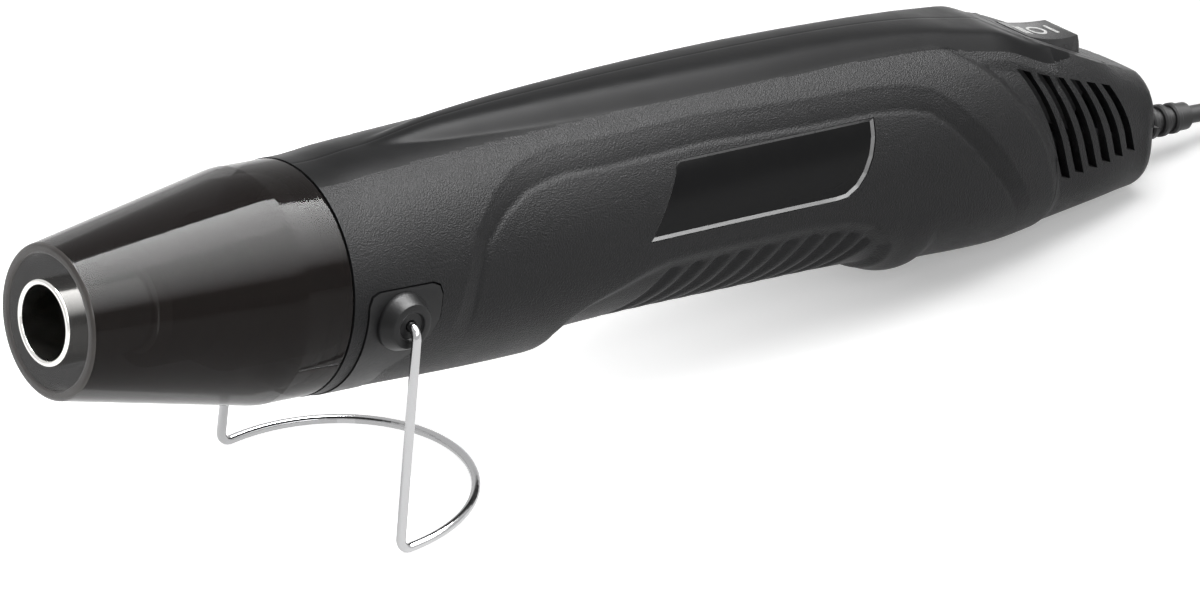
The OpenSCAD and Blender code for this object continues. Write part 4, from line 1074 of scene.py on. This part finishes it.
def boot_profile():
    """The boot's closed profile of x and radius: flange, neck, five collars and tip."""
    behind = FLANGE_X + FLANGE_THICK
    profile = [(FLANGE_X, BOOT_BORE), (FLANGE_X, FLANGE_R), (behind, FLANGE_R), (behind, NECK_R),
        (NECK_END, NECK_R)]
    for k in range(COLLARS):
        start, radius = COLLAR_X + COLLAR_PITCH * k, COLLAR_R - COLLAR_TAPER * k
        end, rim = start + COLLAR_THICK, radius - COLLAR_ROUND
        profile += [(start, GROOVE_R), (start, rim), (start + COLLAR_ROUND, radius),
            (end - COLLAR_ROUND, radius), (end, rim), (end, GROOVE_R)]
    return profile[:-1] + [(RELIEF_TIP[0], TIP_R), (RELIEF_TIP[0], BOOT_BORE)]


boot = turned("relief_boot", boot_profile(), 96, RELIEF_TIP[2])
boot.data.materials.append(cord_rubber)
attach(boot, "tool")
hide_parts("strain_relief")
dress(["cord_sheath"], cord_rubber)
dress(["cord_clamp"], black_moulding)
# The clamp screws are painted near black, a painted shade that keeps the housing's inside dark where the
# air slots show it.
dress(["clamp_screws"],
    finish_material("screw_steel_painted_shade", (0.03, 0.03, 0.032), 0.5, metal=1.0, grain=0.0005, depth=0.000004))

# Housing screws
# Six plated self-tapping screws with cross recesses, let into the right half. Each grows
# from its head's seat along the tool's width.
def raised(tree, shape, height, turn=(0, 0, 0)):
    """A shape of a geometry tree, turned and then moved up by a height."""
    lift = node(tree, "ShaderNodeCombineXYZ", {"Z": height})
    return node(tree, "GeometryNodeTransform", {"Geometry": shape, "Translation": lift, "Rotation": turn})


screw_tree, given, end = geometry_tree("screws", {"Head Radius": 0.0022, "Head Height": 0.0016,
    "Shank Radius": 0.0012, "Shank Length": 0.0096, "Slot Length": 0.0026, "Slot Width": 0.0005,
    "Slot Depth": 0.0016})
head_disc = node(screw_tree, "GeometryNodeMeshCylinder", {"Vertices": 32, "Radius": given["Head Radius"],
    "Depth": given["Head Height"]})
half_head = node(screw_tree, "ShaderNodeMath", {0: given["Head Height"], 1: 0.5}, operation="MULTIPLY")
head = raised(screw_tree, head_disc, half_head)
slots = node(screw_tree, "GeometryNodeJoinGeometry")
for turn in (0, math.pi / 2):
    size = node(screw_tree, "ShaderNodeCombineXYZ",
        {"X": given["Slot Length"], "Y": given["Slot Width"], "Z": given["Slot Depth"]})
    bar = node(screw_tree, "GeometryNodeMeshCube", {"Size": size})
    slot = raised(screw_tree, bar, given["Head Height"], (0, 0, turn))
    screw_tree.links.new(slot.outputs[0], slots.inputs[0])
recessed = node(screw_tree, "GeometryNodeMeshBoolean", {"Mesh 1": head, "Mesh 2": slots},
    operation="DIFFERENCE", solver="EXACT")
shank = node(screw_tree, "GeometryNodeMeshCylinder", {"Vertices": 24, "Radius": given["Shank Radius"],
    "Depth": given["Shank Length"]})
half_shank = node(screw_tree, "ShaderNodeMath", {0: given["Shank Length"], 1: -0.5}, operation="MULTIPLY")
lowered = raised(screw_tree, shank, half_shank)
one_screw = node(screw_tree, "GeometryNodeJoinGeometry")
screw_tree.links.new(recessed.outputs["Mesh"], one_screw.inputs[0])
screw_tree.links.new(lowered.outputs[0], one_screw.inputs[0])
spots = node(screw_tree, "GeometryNodeMeshToPoints", {"Mesh": given["Geometry"]})
placed = node(screw_tree, "GeometryNodeInstanceOnPoints", {"Points": spots,
    "Instance": one_screw, "Rotation": (-math.pi / 2, 0, 0)})
close_tree(screw_tree, given, end, placed)
screws = grown("screws", screw_tree, {"Slot Width": 0.0005}, plated_steel,
    on_table([(x, SCREW_SEAT + 0.05, z) for x, z in SCREWS]))
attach(screws, "tool")
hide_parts("housing_screws")

# Stand
# A moulded strap round the barrel ends in two lobes with bosses. The bright wire's ends
# turn in them, and its foot bends round in a half circle.
STRAP_R = 19.6
STRAP_THICK = 1.3
BOSS_X = 55.2
BOSS_Z = -2
BOSS = [(18.6, 4.9), (19.9, 4.9), (20.2, 4.78), (21.7, 4.05), (22.0, 3.9), (22.22, 3.72), (22.3, 3.5),
    (22.3, 2.6), (22.22, 2.45), (21.95, 2.35), (21.8, 2.2), (21.8, 1.05), (21.6, 0.86), (19.1, 0.86)]


def bracket_strap():
    """The strap with its two turned bosses and the holes that hold the wire's ends."""
    strap = strap_block(0, STRAP_R - STRAP_THICK, STRAP_R)
    turn = around(72)
    for side in (-1, 1):
        rings = [np.stack([BOSS_X + r * np.cos(turn), np.full(72, side * y), BOSS_Z + r * np.sin(turn)], -1)
            for y, r in BOSS]
        carve(strap, closed_skin("boss", rings), "UNION")
    lay_on_table(strap.data, 28)
    strap.name = "bracket_strap"
    return strap


bracket = bracket_strap()
bracket.data.materials.clear()
paint(bracket, "bracket_plastic", (0.0085, 0.0085, 0.009), 0.36, grain=0.0005,
    depth=0.00002, Specular_IOR_Level=0.2)
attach(bracket, "tool")
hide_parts("stand_bracket")
WIRE_HINGE = (-66.18, 38.26)
WIRE_FOOT = (-72.55, 0.8)
WIRE_R = 0.8
PIN_IN = 19.3
PIN_OUT = 23.5
FOOT_HALF = 24.5
FOOT_RUN = 3.5


def wire_route():
    """The stand's wire from one pin over the foot to the other, in metres."""
    arc = [(WIRE_FOOT[0] + FOOT_RUN + FOOT_HALF * math.sin(t), -FOOT_HALF * math.cos(t), WIRE_FOOT[1])
        for t in np.linspace(0, math.pi, 49)]
    left = [(WIRE_HINGE[0], -PIN_IN, WIRE_HINGE[1]), (WIRE_HINGE[0], -PIN_OUT, WIRE_HINGE[1]),
        (WIRE_FOOT[0], -FOOT_HALF, WIRE_FOOT[1])]
    return np.array(left + arc + [(x, -y, z) for x, y, z in left[::-1]]) / 1000


wire_tree, given, end = geometry_tree("bent_wire", {"Wire Radius": 0.0008, "Bend Radius": 0.0018})
line = node(wire_tree, "GeometryNodeMeshToCurve", {"Mesh": given["Geometry"]})
bent = node(wire_tree, "GeometryNodeFilletCurve", {"Curve": line, "Count": 10,
    "Radius": given["Bend Radius"], "Limit Radius": True}, mode="POLY")
wire = node(wire_tree, "GeometryNodeCurvePrimitiveCircle",
    {"Resolution": 16, "Radius": given["Wire Radius"]})
drawn = node(wire_tree, "GeometryNodeCurveToMesh", {"Curve": bent, "Profile Curve": wire,
    "Fill Caps": True})
close_tree(wire_tree, given, end, drawn)
route = wire_route()
bright_wire = finish_material("bright_wire", (0.38, 0.38, 0.385), 0.15, metal=1.0, grain=0.0007,
    depth=0.0000015, smear=0.05)
stand = grown("stand_bow", wire_tree, {"Wire Radius": WIRE_R / 1000, "Bend Radius": 0.0018}, bright_wire,
    route, [(i, i + 1) for i in range(len(route) - 1)])
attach(stand, "stand")
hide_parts("stand_wire")
